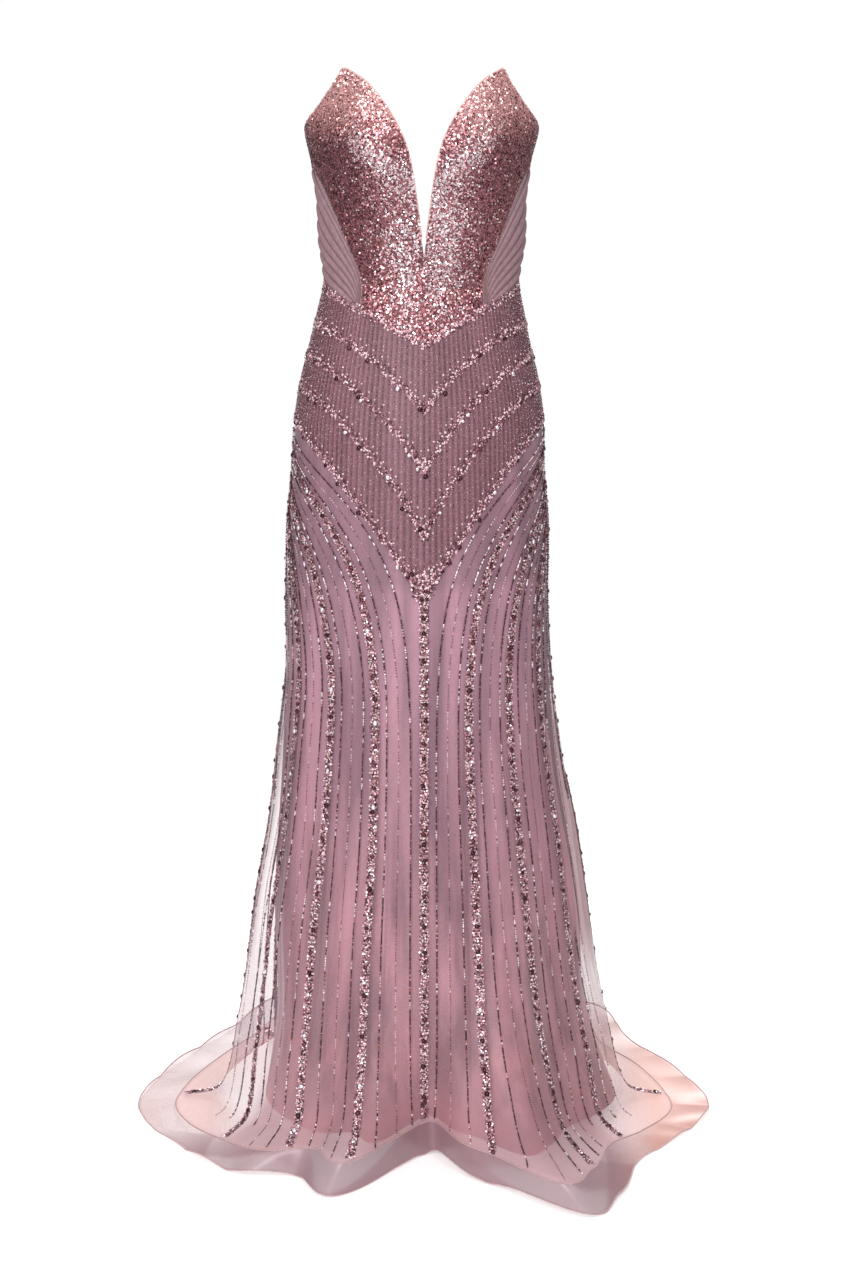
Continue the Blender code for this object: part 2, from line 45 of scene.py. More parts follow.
form = {
    # z, half width to the wearer's right and left, depth to front and back, strength of the hem folds
    "levels": np.array([
        (0.26, 0.14, 0.136, 0.104, 0.084, 0.0),
        (0.215, 0.1425, 0.1375, 0.11, 0.088, 0.0),
        (0.183, 0.1432, 0.1376, 0.112, 0.091, 0.0),
        (0.145, 0.1358, 0.1285, 0.108, 0.092, 0.0),
        (0.107, 0.129, 0.1222, 0.1, 0.089, 0.0),
        (0.05, 0.1262, 0.1212, 0.091, 0.085, 0.0),
        (0.0, 0.1215, 0.115, 0.085, 0.083, 0.0),
        (-0.03, 0.1285, 0.1205, 0.0885, 0.088, 0.0),
        (-0.072, 0.1392, 0.129, 0.0945, 0.098, 0.0),
        (-0.122, 0.152, 0.141, 0.102, 0.11, 0.0),
        (-0.171, 0.1603, 0.1478, 0.1085, 0.119, 0.0),
        (-0.222, 0.164, 0.149, 0.113, 0.1215, 0.0),
        (-0.3, 0.171, 0.155, 0.116, 0.118, 0.0),
        (-0.4, 0.1745, 0.156, 0.118, 0.112, 0.0),
        (-0.479, 0.175, 0.1606, 0.121, 0.112, 0.0),
        (-0.585, 0.1877, 0.1735, 0.13, 0.122, 0.0),
        (-0.693, 0.2018, 0.1914, 0.143, 0.142, 0.03),
        (-0.803, 0.2208, 0.2053, 0.16, 0.172, 0.1),
        (-0.9, 0.23, 0.2175, 0.182, 0.212, 0.22),
        (-0.96, 0.2343, 0.2267, 0.2, 0.245, 0.38),
    ]),
    # way down from the waist, lift above the floor at front and back, then the same five sizes
    "floorRows": np.array([
        (1.04, 0.07, 0.014, 0.25, 0.25, 0.228, 0.305, 0.7),
        (1.075, 0.054, 0.0055, 0.27, 0.27, 0.242, 0.345, 0.88),
        (1.105, 0.044, 0.0035, 0.288, 0.288, 0.25, 0.372, 0.96),
        (1.13, 0.022, 0.003, 0.309, 0.309, 0.256, 0.396, 0.98),
        (1.155, 0.0015, 0.0025, 0.33, 0.33, 0.26, 0.42, 1.0),
    ]),
    "liningInset": 0.0016,
    "liningLowest": -0.42,  # the lining follows the form down to here, then hangs on its own
    "liningRows": np.array([
        (0.6, 0.48, 0.48, 0.1815, 0.169, 0.1245, 0.113, 0.0),
        (0.8, 0.28, 0.28, 0.193, 0.2, 0.15, 0.155, 0.08),
        (0.96, 0.12, 0.12, 0.186, 0.208, 0.187, 0.19, 0.35),
        (1.05, 0.047, 0.016, 0.189, 0.2295, 0.215, 0.215, 0.75),
    ]),
    "floorZ": -1.08,
    "bandTop": 1.105,
    "hem": 1.155,
    # the hem's plan: angle from the centre front, and reach against the plain oval
    "folds": np.array([
        (-158, 0.97), (-138, 1.03), (-122, 0.98), (-111, 1.015), (-84, 1.153), (-70, 1.135), (-56, 1.112),
        (-38, 1.11), (-28, 1.02), (-17, 1.155), (-7, 0.82), (-1, 0.69), (5, 0.68), (10, 0.9), (17, 1.09),
        (24, 1.42), (33, 1.32), (46, 1.12), (62, 1.105), (83, 1.15), (103, 1.05), (117, 0.97), (128, 1.03),
        (143, 0.98), (160, 1.04), (180, 1.03),
    ]),
    "cup": {"depth": 0.02, "x": 0.072, "z": 0.15, "width": 0.048, "height": 0.06},
    "seam": {"sideZ": -0.009, "frontDrop": 0.062, "backDrop": 0.042},
}


# Cubic curve through the knots; its slope at each knot is the mean slope there.
def smooth(x, knots, values):
    slopes = np.gradient(values, knots)
    place = np.clip(np.searchsorted(knots, x, side="right") - 1, 0, len(knots) - 2)
    step = knots[place + 1] - knots[place]
    t = share((x - knots[place]) / step)
    start = (1 + 2 * t) * (1 - t) ** 2 * values[place] + t * (1 - t) ** 2 * step * slopes[place]
    end = t * t * (3 - 2 * t) * values[place + 1] - t * t * (1 - t) * step * slopes[place + 1]
    return start + end


def unit(vectors):
    return vectors / np.maximum(np.linalg.norm(vectors, axis=-1, keepdims=True), 1e-12)


def turned(angle):
    return (np.asarray(angle, float) + 180.0) % 360.0 - 180.0


def share(value):
    return np.clip(value, 0.0, 1.0)


def sine(degrees):
    return np.sin(np.radians(degrees))


# Reach of the hem's folds at an angle: a closed cubic curve through the table.
def foldReach(angle):
    table = form["folds"]
    before, after = table[-3:] - (360.0, 0.0), table[:3] + (360.0, 0.0)
    knots = np.concatenate([before, table, after])
    return smooth(turned(angle), knots[:, 0], knots[:, 1])


# One table for a whole skirt: way down, z at front and back, five sizes.
def skirtTable(levels, rows):
    z = levels[:, :1]
    upper = np.hstack([-z, z, z, levels[:, 1:]])
    lower = rows.copy()
    lower[:, 1:3] += form["floorZ"]
    return np.vstack([upper, lower])


tulleTable = skirtTable(form["levels"], form["floorRows"])
liningLevels = form["levels"][form["levels"][:, 0] > form["liningLowest"]]
liningLevels = np.hstack([liningLevels[:, :1], liningLevels[:, 1:5] - form["liningInset"], liningLevels[:, 5:]])
liningTable = skirtTable(liningLevels, form["liningRows"])


# Four quarter ovals joined, pushed in and out by the folds; the row's height runs from its back value
# to its front value with the square of the cosine of the angle. The cups are two soft domes.
def ringPoint(angle, down, table):
    angle, down = np.broadcast_arrays(turned(angle), np.asarray(down, float))
    zFront, zBack, right, left, front, back, fold = (smooth(down, table[:, 0], table[:, k]) for k in range(1, 8))
    across, along = np.sin(np.radians(angle)), np.cos(np.radians(angle))
    grow = 1.0 + fold * (foldReach(angle) - 1.0)
    x = np.where(across >= 0, left, right) * across * grow
    y = -np.where(along >= 0, front, back) * along * grow
    z = zBack + (zFront - zBack) * share(along) ** 2
    cup = form["cup"]
    dome = np.exp(-(((np.abs(x) - cup["x"]) / cup["width"]) ** 2) - ((z - cup["z"]) / cup["height"]) ** 2)
    y = y - cup["depth"] * dome * share(along)
    return np.stack([x, y, z], axis=-1)


probe = {"round": 0.4, "down": 0.002}  # degrees and metres to step for a slope


# Outward normal of a surface, from a small step round and a small step down.
def normalOf(surface, angle, down):
    around = surface(angle + probe["round"], down) - surface(angle - probe["round"], down)
    below = surface(angle, down + probe["down"]) - surface(angle, down - probe["down"])
    return unit(np.cross(below, around))


def ringNormal(angle, down, table):
    return normalOf(lambda a, d: ringPoint(a, d, table), angle, down)


# Height of the waist seam: a parabola from each side down to the centre front and the centre back.
def seamZ(angle):
    seam, away = form["seam"], np.abs(turned(angle))
    front = seam["frontDrop"] * share(1.0 - away / 90.0) ** 2
    back = seam["backDrop"] * share(away / 90.0 - 1.0) ** 2
    return seam["sideZ"] - front - back


tulleCreases = np.array([
    # angle at top and bottom, way down at top and bottom, half width in degrees, depth (minus is a ridge)
    (-84, -88, 0.6, 1.06, 5.0, 0.006),
    (-66, -70, 0.52, 1.08, 4.0, 0.0045),
    (-47, -49, 0.62, 1.06, 3.6, 0.005),
    (-30, -33, 0.7, 1.07, 3.4, 0.0035),
    (12, 13, 0.72, 1.06, 3.0, -0.003),
    (29, 33, 0.66, 1.08, 3.5, 0.005),
    (50, 54, 0.55, 1.06, 4.0, 0.0045),
    (70, 74, 0.5, 1.08, 4.4, 0.006),
    (88, 92, 0.62, 1.08, 4.0, -0.005),
    (104, 108, 0.42, 1.05, 5.0, 0.008),
    (126, 124, 0.4, 1.06, 5.0, 0.007),
    (148, 150, 0.46, 1.07, 4.5, 0.008),
    (168, 172, 0.4, 1.08, 4.0, 0.006),
    (-106, -104, 0.44, 1.06, 5.0, 0.0075),
    (-130, -132, 0.4, 1.07, 4.6, 0.008),
    (-152, -148, 0.48, 1.05, 5.0, 0.007),
    (-170, -173, 0.42, 1.08, 4.0, 0.006),
])
liningCreases = np.array([
    (-78, -84, 0.55, 1.04, 5.0, 0.006),
    (-60, -66, 0.6, 1.05, 4.5, -0.008),
    (-45, -50, 0.56, 1.05, 5.0, 0.01),
    (-28, -31, 0.62, 1.04, 4.5, -0.007),
    (-14, -16, 0.66, 1.05, 4.5, 0.008),
    (2, 3, 0.64, 1.05, 5.0, -0.006),
    (16, 18, 0.6, 1.05, 4.5, 0.008),
    (33, 36, 0.55, 1.05, 5.0, -0.008),
    (48, 54, 0.58, 1.04, 4.6, 0.01),
    (66, 72, 0.52, 1.05, 5.0, -0.008),
    (84, 88, 0.5, 1.05, 5.0, 0.003),
    (104, 106, 0.55, 1.04, 6.0, 0.009),
    (130, 128, 0.52, 1.04, 6.0, 0.009),
    (156, 158, 0.55, 1.04, 6.0, 0.009),
    (-104, -106, 0.55, 1.04, 6.0, 0.009),
    (-130, -128, 0.5, 1.04, 6.0, 0.009),
    (-156, -158, 0.55, 1.04, 6.0, 0.009),
])


# How far the cloth lies inside its plain form: a bell-shaped trough for each crease, fading at its ends.
def creaseDepth(angle, down, creases):
    total = np.zeros(np.broadcast(angle, down).shape)
    for top, bottom, start, end, width, depth in creases:
        part = share((down - start) / (end - start))
        offset = turned(angle - (top + (bottom - top) * part)) / width
        total += depth * np.exp(-offset**2) * np.sin(np.pi * part**0.7)
    return total


def creasedPoint(angle, down, table, creases):
    depth = creaseDepth(angle, down, creases)[..., None]
    return ringPoint(angle, down, table) - ringNormal(angle, down, table) * depth


def tullePoint(angle, down):
    return creasedPoint(angle, down, tulleTable, tulleCreases)


def liningPoint(angle, down):
    return creasedPoint(angle, down, liningTable, liningCreases)


def tulleFrames(angle, down):
    return tullePoint(angle, down), normalOf(tullePoint, angle, down)


def makeMesh(name, points, faces, uv=None, smoothed=True):
    mesh = bpy.data.meshes.new(name)
    count, sides = faces.shape
    points = points.reshape(-1, 3)
    mesh.vertices.add(len(points))
    mesh.vertices.foreach_set("co", points.astype(np.float32).ravel())
    mesh.loops.add(count * sides)
    mesh.loops.foreach_set("vertex_index", faces.astype(np.int32).ravel())
    mesh.polygons.add(count)
    mesh.polygons.foreach_set("loop_start", np.arange(count, dtype=np.int32) * sides)
    mesh.update(calc_edges=True)
    if uv is not None:
        layer = mesh.uv_layers.new(name="cloth")
        layer.uv.foreach_set("vector", uv.reshape(-1, 2)[faces.ravel()].astype(np.float32).ravel())
    if smoothed:
        mesh.shade_smooth()
    return mesh


# Keeps a number for each point, for the materials to read.
def mark(mesh, name, values):
    mesh.attributes.new(name, "FLOAT", "POINT").data.foreach_set("value", values.astype(np.float32).ravel())


# The solid that a cloth piece stands for has the same name in small words, such as skirt_tulle_front.
def nodeOf(name):
    return "".join("_" + letter.lower() if letter.isupper() else letter for letter in name)


def addPiece(name, mesh, material, slot, *nodes):
    mesh.materials.append(material)
    piece = bpy.data.objects.new(name, mesh)
    bpy.context.scene.collection.objects.link(piece)
    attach(piece, "dress")
    if nodes:
        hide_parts(*nodes)
    return piece


# A grid of points as quads. Rows run down and columns towards the wearer's left, so faces point outwards.
def gridFaces(rows, columns):
    index = np.arange(rows * columns).reshape(rows, columns)
    a, b = index[:-1, :-1].ravel(), index[:-1, 1:].ravel()
    c, d = index[1:, 1:].ravel(), index[1:, :-1].ravel()
    return np.stack([a, d, c, b], 1)


# The faces of several grids whose points follow one another in one mesh.
def facesOfGrids(grids):
    starts = np.cumsum([0] + [grid[..., 0].size for grid in grids])
    return np.concatenate([gridFaces(*grid.shape[:2]) + start for grid, start in zip(grids, starts)])


# One sheet of cloth; one with a wall is thickened inwards, and its inner face may have its own finish.
def addCloth(name, points, material, slot, uv=None, wall=0.0, inner=None, cadNode=None):
    mesh = makeMesh(name, points, gridFaces(*points.shape[:2]), uv)
    piece = addPiece(name, mesh, material, slot, cadNode or nodeOf(name))
    if wall > 0:
        piece.data.materials.append(inner)
        thick = piece.modifiers.new("wall", "SOLIDIFY")
        thick.thickness, thick.offset, thick.material_offset = wall, -1.0, 1
        thick.use_quality_normals = True
    return piece


# A tube of round section carried along a path.
def addTube(name, path, radius, material, slot, *nodes, sides=8, closed=False):
    ahead = np.roll(path, -1, 0) - np.roll(path, 1, 0) if closed else np.gradient(path, axis=0)
    along = unit(ahead)
    up = np.where(np.abs(along[:, 2:]) > 0.9, (1.0, 0.0, 0.0), (0.0, 0.0, 1.0))
    across = unit(np.cross(up, along))
    over = np.cross(along, across)
    turn = np.arange(sides) * 2 * np.pi / sides
    ring = np.cos(turn)[:, None] * across[:, None] + np.sin(turn)[:, None] * over[:, None]
    index = np.arange(len(path) * sides).reshape(len(path), sides)
    index = np.hstack([index, index[:, :1]])
    if closed:
        index = np.vstack([index, index[:1]])
    faces = np.stack([index[:-1, :-1], index[:-1, 1:], index[1:, 1:], index[1:, :-1]], -1).reshape(-1, 4)
    return addPiece(name, makeMesh(name, path[:, None] + ring * radius, faces), material, slot, *nodes)


def newMaterial(name):
    material = bpy.data.materials.new(name)
    material.use_nodes = True
    tree = material.node_tree
    return material, tree, tree.nodes["Principled BSDF"]


# Gives each named socket its value, or links it where the value is another node's output.
def plug(tree, made, inputs):
    for key, value in inputs.items():
        if isinstance(value, bpy.types.NodeSocket):
            tree.links.new(value, made.inputs[key])
        else:
            made.inputs[key].default_value = value


def node(tree, kind, inputs=None, **settings):
    made = tree.nodes.new("ShaderNode" + kind)
    for key, value in settings.items():
        setattr(made, key, value)
    plug(tree, made, inputs or {})
    return made


def maths(tree, operation, *values):
    return node(tree, "Math", dict(enumerate(values)), operation=operation).outputs[0]


def mapRange(tree, value, low, high, start=0.0, end=1.0, soft=False):
    inputs = {"Value": value, "From Min": low, "From Max": high, "To Min": start, "To Max": end}
    return node(tree, "MapRange", inputs, interpolation_type="SMOOTHSTEP" if soft else "LINEAR").outputs["Result"]


def mixColours(tree, factor, first, second, blend="MIX"):
    first, second = ((*colour, 1.0) if isinstance(colour, tuple) else colour for colour in (first, second))
    inputs = {"Factor": factor, "A": first, "B": second}
    return node(tree, "Mix", inputs, data_type="RGBA", blend_type=blend).outputs["Result"]


def bumpOf(tree, height, strength, distance):
    return node(tree, "Bump", {"Height": height, "Strength": strength, "Distance": distance}).outputs["Normal"]


def noise(tree, vector, scale, detail):
    return node(tree, "TexNoise", {"Vector": vector, "Scale": scale, "Detail": detail}).outputs["Fac"]


def ramp(tree, value, stops):
    made = node(tree, "ValToRGB", {"Fac": value})
    elements = made.color_ramp.elements
    while len(elements) < len(stops):
        elements.new(0.5)
    for element, (place, colour) in zip(elements, stops):
        element.position = place
        element.color = (*colour, 1.0)
    return made.outputs["Color"]


# Fine net: threads along the borders of small cells.
def makeNetGroup():
    group = bpy.data.node_groups.new("fineNet", "ShaderNodeTree")
    for label, size in (("Cell", 0.0018), ("Thread", 0.14)):
        socket = group.interface.new_socket(name=label, in_out="INPUT", socket_type="NodeSocketFloat")
        socket.default_value = size
    group.interface.new_socket(name="Thread", in_out="OUTPUT", socket_type="NodeSocketFloat")
    given, result = group.nodes.new("NodeGroupInput"), group.nodes.new("NodeGroupOutput")
    place = node(group, "TexCoord")
    scale = maths(group, "DIVIDE", 1.0, given.outputs["Cell"])
    inputs = {"Vector": place.outputs["Object"], "Scale": scale, "Randomness": 0.35}
    cells = node(group, "TexVoronoi", inputs, feature="DISTANCE_TO_EDGE")
    edge = mapRange(group, cells.outputs["Distance"], 0.0, given.outputs["Thread"], 1.0, 0.0, soft=True)
    plug(group, result, {"Thread": edge})
    return group


netGroup = makeNetGroup()
tulleFinish = {
    "colour": (0.46, 0.29, 0.36),
    "warm": (0.68, 0.37, 0.31),
    "warmer": 0.42,  # how much denser the net looks where it is warm
    "floorWarm": 0.75,
    "open": 0.17,
    "thread": 0.31,
    "cell": 0.0016,
    "roughness": 0.55,
    "gather": (0.47, 0.235, 0.26),  # the net is densest where its folds crowd
    "dense": 0.8,
    "yokeNet": (0.17, 0.085, 0.11),
    "yokeDense": 0.5,
    "stripe": (0.35, 0.165, 0.19),  # rose embroidery between the seed lines of the hip yoke
    "stripeDense": 0.72,
    "stripeDegrees": 2.7,
    "stripeEdge": (0.14, 0.3),
}
netWarmth = {
    # where the net starts and ends turning warm, and how warm it gets
    "left": (0.2, 0.3, 0.0, 1.0),
    "right": (-0.2, -0.36, 0.0, 0.45),
    "floor": (-1.04, -1.068),
}


# Sheer net. Away from the body its colour turns warmer, and on the hip yoke rose stripes lie on it.
def makeTulle(name, finish):
    material, tree, shader = newMaterial(name)
    net = node(tree, "Group", {"Cell": finish["cell"], "Thread": 0.22}, node_tree=netGroup)
    alpha = mapRange(tree, net.outputs["Thread"], 0.0, 1.0, finish["open"], finish["thread"])
    place = node(tree, "TexCoord").outputs
    parts = node(tree, "SeparateXYZ", {"Vector": place["Object"]}).outputs
    left, right = (mapRange(tree, parts["X"], *netWarmth[side]) for side in ("left", "right"))
    onFloor = mapRange(tree, parts["Z"], *netWarmth["floor"], 0.0, finish.get("floorWarm", 0.0))
    far = maths(tree, "MAXIMUM", maths(tree, "MAXIMUM", left, right), onFloor)
    colour = mixColours(tree, far, finish["colour"], finish["warm"])
    alpha = maths(tree, "ADD", alpha, maths(tree, "MULTIPLY", far, finish["warmer"]))
    if "gather" in finish:
        gather = node(tree, "Attribute", attribute_name="gather").outputs["Fac"]
        crowd = maths(tree, "MULTIPLY", gather, maths(tree, "SUBTRACT", 1.0, far))
        colour = mixColours(tree, crowd, colour, finish["gather"])
        alpha = maths(tree, "MAXIMUM", alpha, mapRange(tree, gather, 0.0, 1.0, 0.0, finish["dense"]))
    if "stripe" in finish:
        yoke = node(tree, "Attribute", attribute_name="yoke").outputs["Fac"]
        across = node(tree, "SeparateXYZ", {"Vector": place["UV"]}).outputs["X"]
        turns = maths(tree, "MULTIPLY", across, 360.0 / finish["stripeDegrees"])
        band = mapRange(tree, maths(tree, "PINGPONG", turns, 0.5), *finish["stripeEdge"], soft=True)
        uneven = mapRange(tree, noise(tree, place["Object"], 520.0, 2.0), 0.35, 0.65, 0.55)
        shown = maths(tree, "MULTIPLY", maths(tree, "MULTIPLY", band, uneven), yoke)
        colour = mixColours(tree, yoke, colour, finish["yokeNet"])
        colour = mixColours(tree, shown, colour, finish["stripe"])
        alpha = maths(tree, "MAXIMUM", alpha, mapRange(tree, yoke, 0.0, 1.0, 0.0, finish["yokeDense"]))
        alpha = maths(tree, "MAXIMUM", alpha, mapRange(tree, shown, 0.0, 1.0, 0.0, finish["stripeDense"]))
        plug(tree, shader, {"Normal": bumpOf(tree, shown, 0.5, 0.0006)})
    plug(tree, shader, {"Base Color": colour, "Alpha": alpha, "Roughness": finish["roughness"]})
    return material


liningFinish = {
    "upper": (0.43, 0.23, 0.29),
    "lower": (0.43, 0.205, 0.225),
    "lowerZ": (-0.45, -0.95),
    "hip": (0.3, 0.155, 0.2),
    "hipZ": (-0.368, -0.353),
    # upright streaks lighter and darker than the satin: painted sheen and painted shade of soft folds
    "sheenAndShadeScale": (34.0, 34.0, 2.4),
    "sheenAndShadeStops": [(0.34, (0.5, 0.46, 0.49)), (0.5, (0.93, 0.92, 0.93)), (0.66, (1.32, 1.31, 1.32))],
    # painted shade, darkening both sides of the skirt and fading out towards the hem
    "paintedSideShade": (0.6, 0.56, 0.6),
    "paintedShadeTurns": (0.12, 0.22),  # turns away from the centre front or back
    "sideZ": (-0.96, -0.76),
    "roughness": 0.48,
}


# Satin with painted upright streaks of sheen and shade: pinker low down, darker at the hips above the yoke's lower
# edge, and darkened with painted shade towards both sides.
def makeLining():
    material, tree, shader = newMaterial("lining satin")
    place = node(tree, "TexCoord").outputs
    height = node(tree, "SeparateXYZ", {"Vector": place["Object"]}).outputs["Z"]
    colour = mixColours(
        tree, mapRange(tree, height, *liningFinish["lowerZ"]), liningFinish["upper"], liningFinish["lower"]
    )
    colour = mixColours(tree, mapRange(tree, height, *liningFinish["hipZ"]), colour, liningFinish["hip"])
    # painted sheen and shade: upright streaks lighter and darker than the satin
    stretch = node(tree, "Mapping", {"Vector": place["Object"], "Scale": liningFinish["sheenAndShadeScale"]})
    paintedSheenAndShade = ramp(tree, noise(tree, stretch.outputs["Vector"], 1.0, 3.0), liningFinish["sheenAndShadeStops"])
    colour = mixColours(tree, 1.0, colour, paintedSheenAndShade, "MULTIPLY")
    # painted shade towards both sides
    around = node(tree, "SeparateXYZ", {"Vector": place["UV"]}).outputs["X"]
    side = mapRange(tree, maths(tree, "PINGPONG", around, 0.25), *liningFinish["paintedShadeTurns"], soft=True)
    shaded = maths(tree, "MULTIPLY", side, mapRange(tree, height, *liningFinish["sideZ"]))
    colour = mixColours(tree, shaded, colour, liningFinish["paintedSideShade"], "MULTIPLY")
    grain = bumpOf(tree, noise(tree, place["Object"], 900.0, 2.0), 0.12, 0.0004)
    look = {"Base Color": colour, "Normal": grain, "Roughness": liningFinish["roughness"], "Sheen Weight": 0.3}
    plug(tree, shader, look)
    return material


# colours of the foil and of the glass, from the darkest bead to the brightest; the white end serves white beads and
# painted glints, the near-black end dark beads and painted dark reflections
foilAndGlintTones = [
    (0.0, (0.05, 0.014, 0.02)),
    (0.2, (0.15, 0.045, 0.06)),
    (0.45, (0.42, 0.175, 0.195)),
    (0.68, (0.82, 0.4, 0.4)),
    (0.8, (0.94, 0.53, 0.52)),
    (0.89, (0.95, 0.74, 0.76)),
    (1.0, (0.94, 0.93, 1.0)),
]
glassAndGlintTones = [
    (0.0, (0.045, 0.014, 0.022)),
    (0.2, (0.14, 0.045, 0.065)),
    (0.45, (0.37, 0.165, 0.205)),
    (0.7, (0.66, 0.37, 0.42)),
    (0.88, (0.9, 0.68, 0.73)),
    (1.0, (0.99, 0.95, 0.985)),
]
groundTones = [
    (0.0, (0.045, 0.016, 0.022)),
    (0.4, (0.19, 0.075, 0.095)),
    (0.7, (0.44, 0.22, 0.245)),
    (0.88, (0.66, 0.42, 0.44)),
    (1.0, (0.92, 0.78, 0.79)),
]


# Foil or glass whose colour follows each bead's own tint.
def makeSparkle(name, tones, metallic, roughness, coat):
    material, tree, shader = newMaterial(name)
    colour = ramp(tree, node(tree, "Attribute", attribute_name="tint").outputs["Fac"], tones)
    look = {"Base Color": colour, "Metallic": metallic, "Roughness": roughness}
    plug(tree, shader, {**look, "Coat Weight": coat, "Coat Roughness": 0.05})
    return material


# A cloudy single colour, for cords, bindings and metal.
def makePlain(name, colour, roughness, metallic=0.0):
    material, tree, shader = newMaterial(name)
    cloud = noise(tree, node(tree, "TexCoord").outputs["Object"], 220.0, 3.0)
    dark, pale = (tuple(min(strength * part, 1.0) for part in colour) for strength in (0.8, 1.15))
    tone = ramp(tree, cloud, [(0.25, dark), (0.75, pale)])
    plug(tree, shader, {"Base Color": tone, "Roughness": roughness, "Metallic": metallic})
    return material


# Cloth crowded with tiny beads, each cell its own tint; a ribbon of it frays at its two long edges.
def makeBeadGround(name, cell, frayed):
    material, tree, shader = newMaterial(name)
    place = node(tree, "TexCoord").outputs
    cells = node(tree, "TexVoronoi", {"Vector": place["Object"], "Scale": 1.0 / cell})
    parts = node(tree, "SeparateColor", {"Color": cells.outputs["Color"]}).outputs
    gap = mapRange(tree, cells.outputs["Distance"], 0.32, 0.62, 1.0, 0.25)
    colour = mixColours(tree, 1.0, ramp(tree, parts["Red"], groundTones), gap, "MULTIPLY")
    look = {"Base Color": colour, "Metallic": 0.4, "Roughness": 0.35, "Normal": bumpOf(tree, gap, 0.8, 0.0008)}
    if frayed:
        across = node(tree, "SeparateXYZ", {"Vector": place["UV"]}).outputs["X"]
        ragged = maths(tree, "MULTIPLY", parts["Green"], 0.24)
        look["Alpha"] = maths(tree, "GREATER_THAN", maths(tree, "PINGPONG", across, 0.5), ragged)
    plug(tree, shader, look)
    return material


tulleCloth = makeTulle("beaded tulle", tulleFinish)
satin = makeLining()
sequinFoil = makeSparkle("sequin foil", foilAndGlintTones, 0.65, 0.26, 0.0)
beadGlass = makeSparkle("bead glass", glassAndGlintTones, 0.25, 0.22, 0.15)
lineFoil = makeSparkle("line foil", glassAndGlintTones, 0.45, 0.32, 0.0)
ground = makeBeadGround("sequin ground", 0.0022, False)
ribbonGround = makeBeadGround("bead ribbon", 0.0021, True)
bindingCloth = makePlain("binding", (0.78, 0.50, 0.46), 0.6)
print("stage: finishes made")

zipPiece = {
    "clothGap": 1.75,  # degrees from the centre back to the cloth's edge
    "closedBelow": 0.21,
    "closing": 0.012,  # length over which the two backs close below the zip
    "besideZip": 0.003,  # from the centre to the edge of a bodice back, where the form is backDepth deep
    "backDepth": 0.085,
    "keepOff": 177.9,  # degrees at which the binding stops
    "topZ": 0.012,
    "hipZ": -0.196,
    "endZ": -0.24,
    "half": 0.0027,
    "tailHalf": 0.0014,
    "toothPitch": 0.0017,
    "tooth": np.array([0.00135, 0.0006, 0.00045]),
    "toothAside": 0.0006,
    "toothSink": 0.0003,
    "tapeSink": 0.0007,
    "beadless": (0.0048, 0.004),  # half width beside the zip and length below it that carry no beads
}
panels = (("Front", -90.0, 90.0), ("BackLeft", 90.0, 180.0), ("BackRight", 180.0, 270.0))


# The back panels stop short of the centre back beside the zip and meet below it.
def skirtGridPoints(surface, first, last, step, rows, lowest):
    angle = np.linspace(first, last, int(round((last - first) / step)) + 1)[None]
    start = -seamZ(angle)
    part = np.linspace(0.0, 1.0, rows)[:, None]
    down = start + (lowest - start) * part
    angle = np.broadcast_to(angle, down.shape)
    gap = zipPiece["clothGap"] * share((zipPiece["closedBelow"] - down) / zipPiece["closing"])
    if first > 0:
        side = 1.0 if last > 200 else -1.0
        angle = 180.0 + (angle - 180.0) * (90.0 - gap) / 90.0 + side * gap
    return surface(angle, down), np.stack([angle / 360.0, down], axis=-1)


chevrons = np.array([
    # side z, drop to the tip, power
    (-0.055, 0.095, 2.9),
    (-0.093, 0.129, 2.9),
    (-0.132, 0.17, 2.8),
    (-0.172, 0.208, 2.1),
])


# Height of a chevron at an angle away from the centre: it drops from the side to the tip by a power of the rest.
def chevronZ(away, row):
    side, drop, power = row
    return side - drop * share(1.0 - away / 90.0) ** power


# Where the train's folds lie over each other: two waves round the hem, slanting as they go down, each cut
# to a near step so that the doubled cloth has an edge.
def overlap(angle, down):
    slant = (down - 1.1) * 260.0
    first = sine((angle + slant) * 7.0 + 25.0) + 0.4 * sine(angle * 3.0)
    second = sine((angle - slant * 0.7) * 11.0 + 70.0) + 0.5 * sine(angle * 5.0 + 10.0)
    return 0.06 + 0.26 * share(first / 0.24 + 0.3) + 0.2 * share(second / 0.3 - 0.4)


# Marks on the tulle: the yoke is 1 above the lowest chevron, and the gather grows where folds crowd, low on
# the front, at both sides and on the train.
def markTulle(mesh, angle, down):
    away = np.abs(turned(angle))
    mark(mesh, "yoke", share((-down - chevronZ(np.minimum(away, 180.0 - away), chevrons[3])) / 0.006))
    low = share((down - 0.9) / 0.14) * share((70.0 - away) / 18.0)
    flutes = 0.86 + 0.14 * sine(angle * 13.0) * sine(angle * 5.0 + 30.0)
    side = share((26.0 - np.abs(away - 90.0)) / 14.0) * share((down - 0.46) / 0.12) * share((0.98 - down) / 0.14)
    folded = np.where(turned(angle) > 0, 0.8, 0.46) + 0.16 * sine(angle * 43.0)
    train = share((down - 1.03) / 0.04) * overlap(angle, down)
    mark(mesh, "gather", np.maximum(np.maximum(low * flutes, side * folded), train))


skirtLayers = (
    # piece, surface, degrees between columns, rows, way down to the edge, finish, slot
    ("skirtTulle", tullePoint, 0.9, 140, form["bandTop"], tulleCloth, "beaded_tulle"),
    ("skirtLining", liningPoint, 1.5, 100, liningTable[-1, 0], satin, "lining_satin"),
)
for word, first, last in panels:
    for title, surface, step, rows, lowest, cloth, slot in skirtLayers:
        points, uv = skirtGridPoints(surface, first, last, step, rows, lowest)
        sheet = addCloth(title + word, points, cloth, slot, uv)
        if surface is tullePoint:
            markTulle(sheet.data, uv[..., 0] * 360.0, uv[..., 1])
print("stage: skirt cloth")

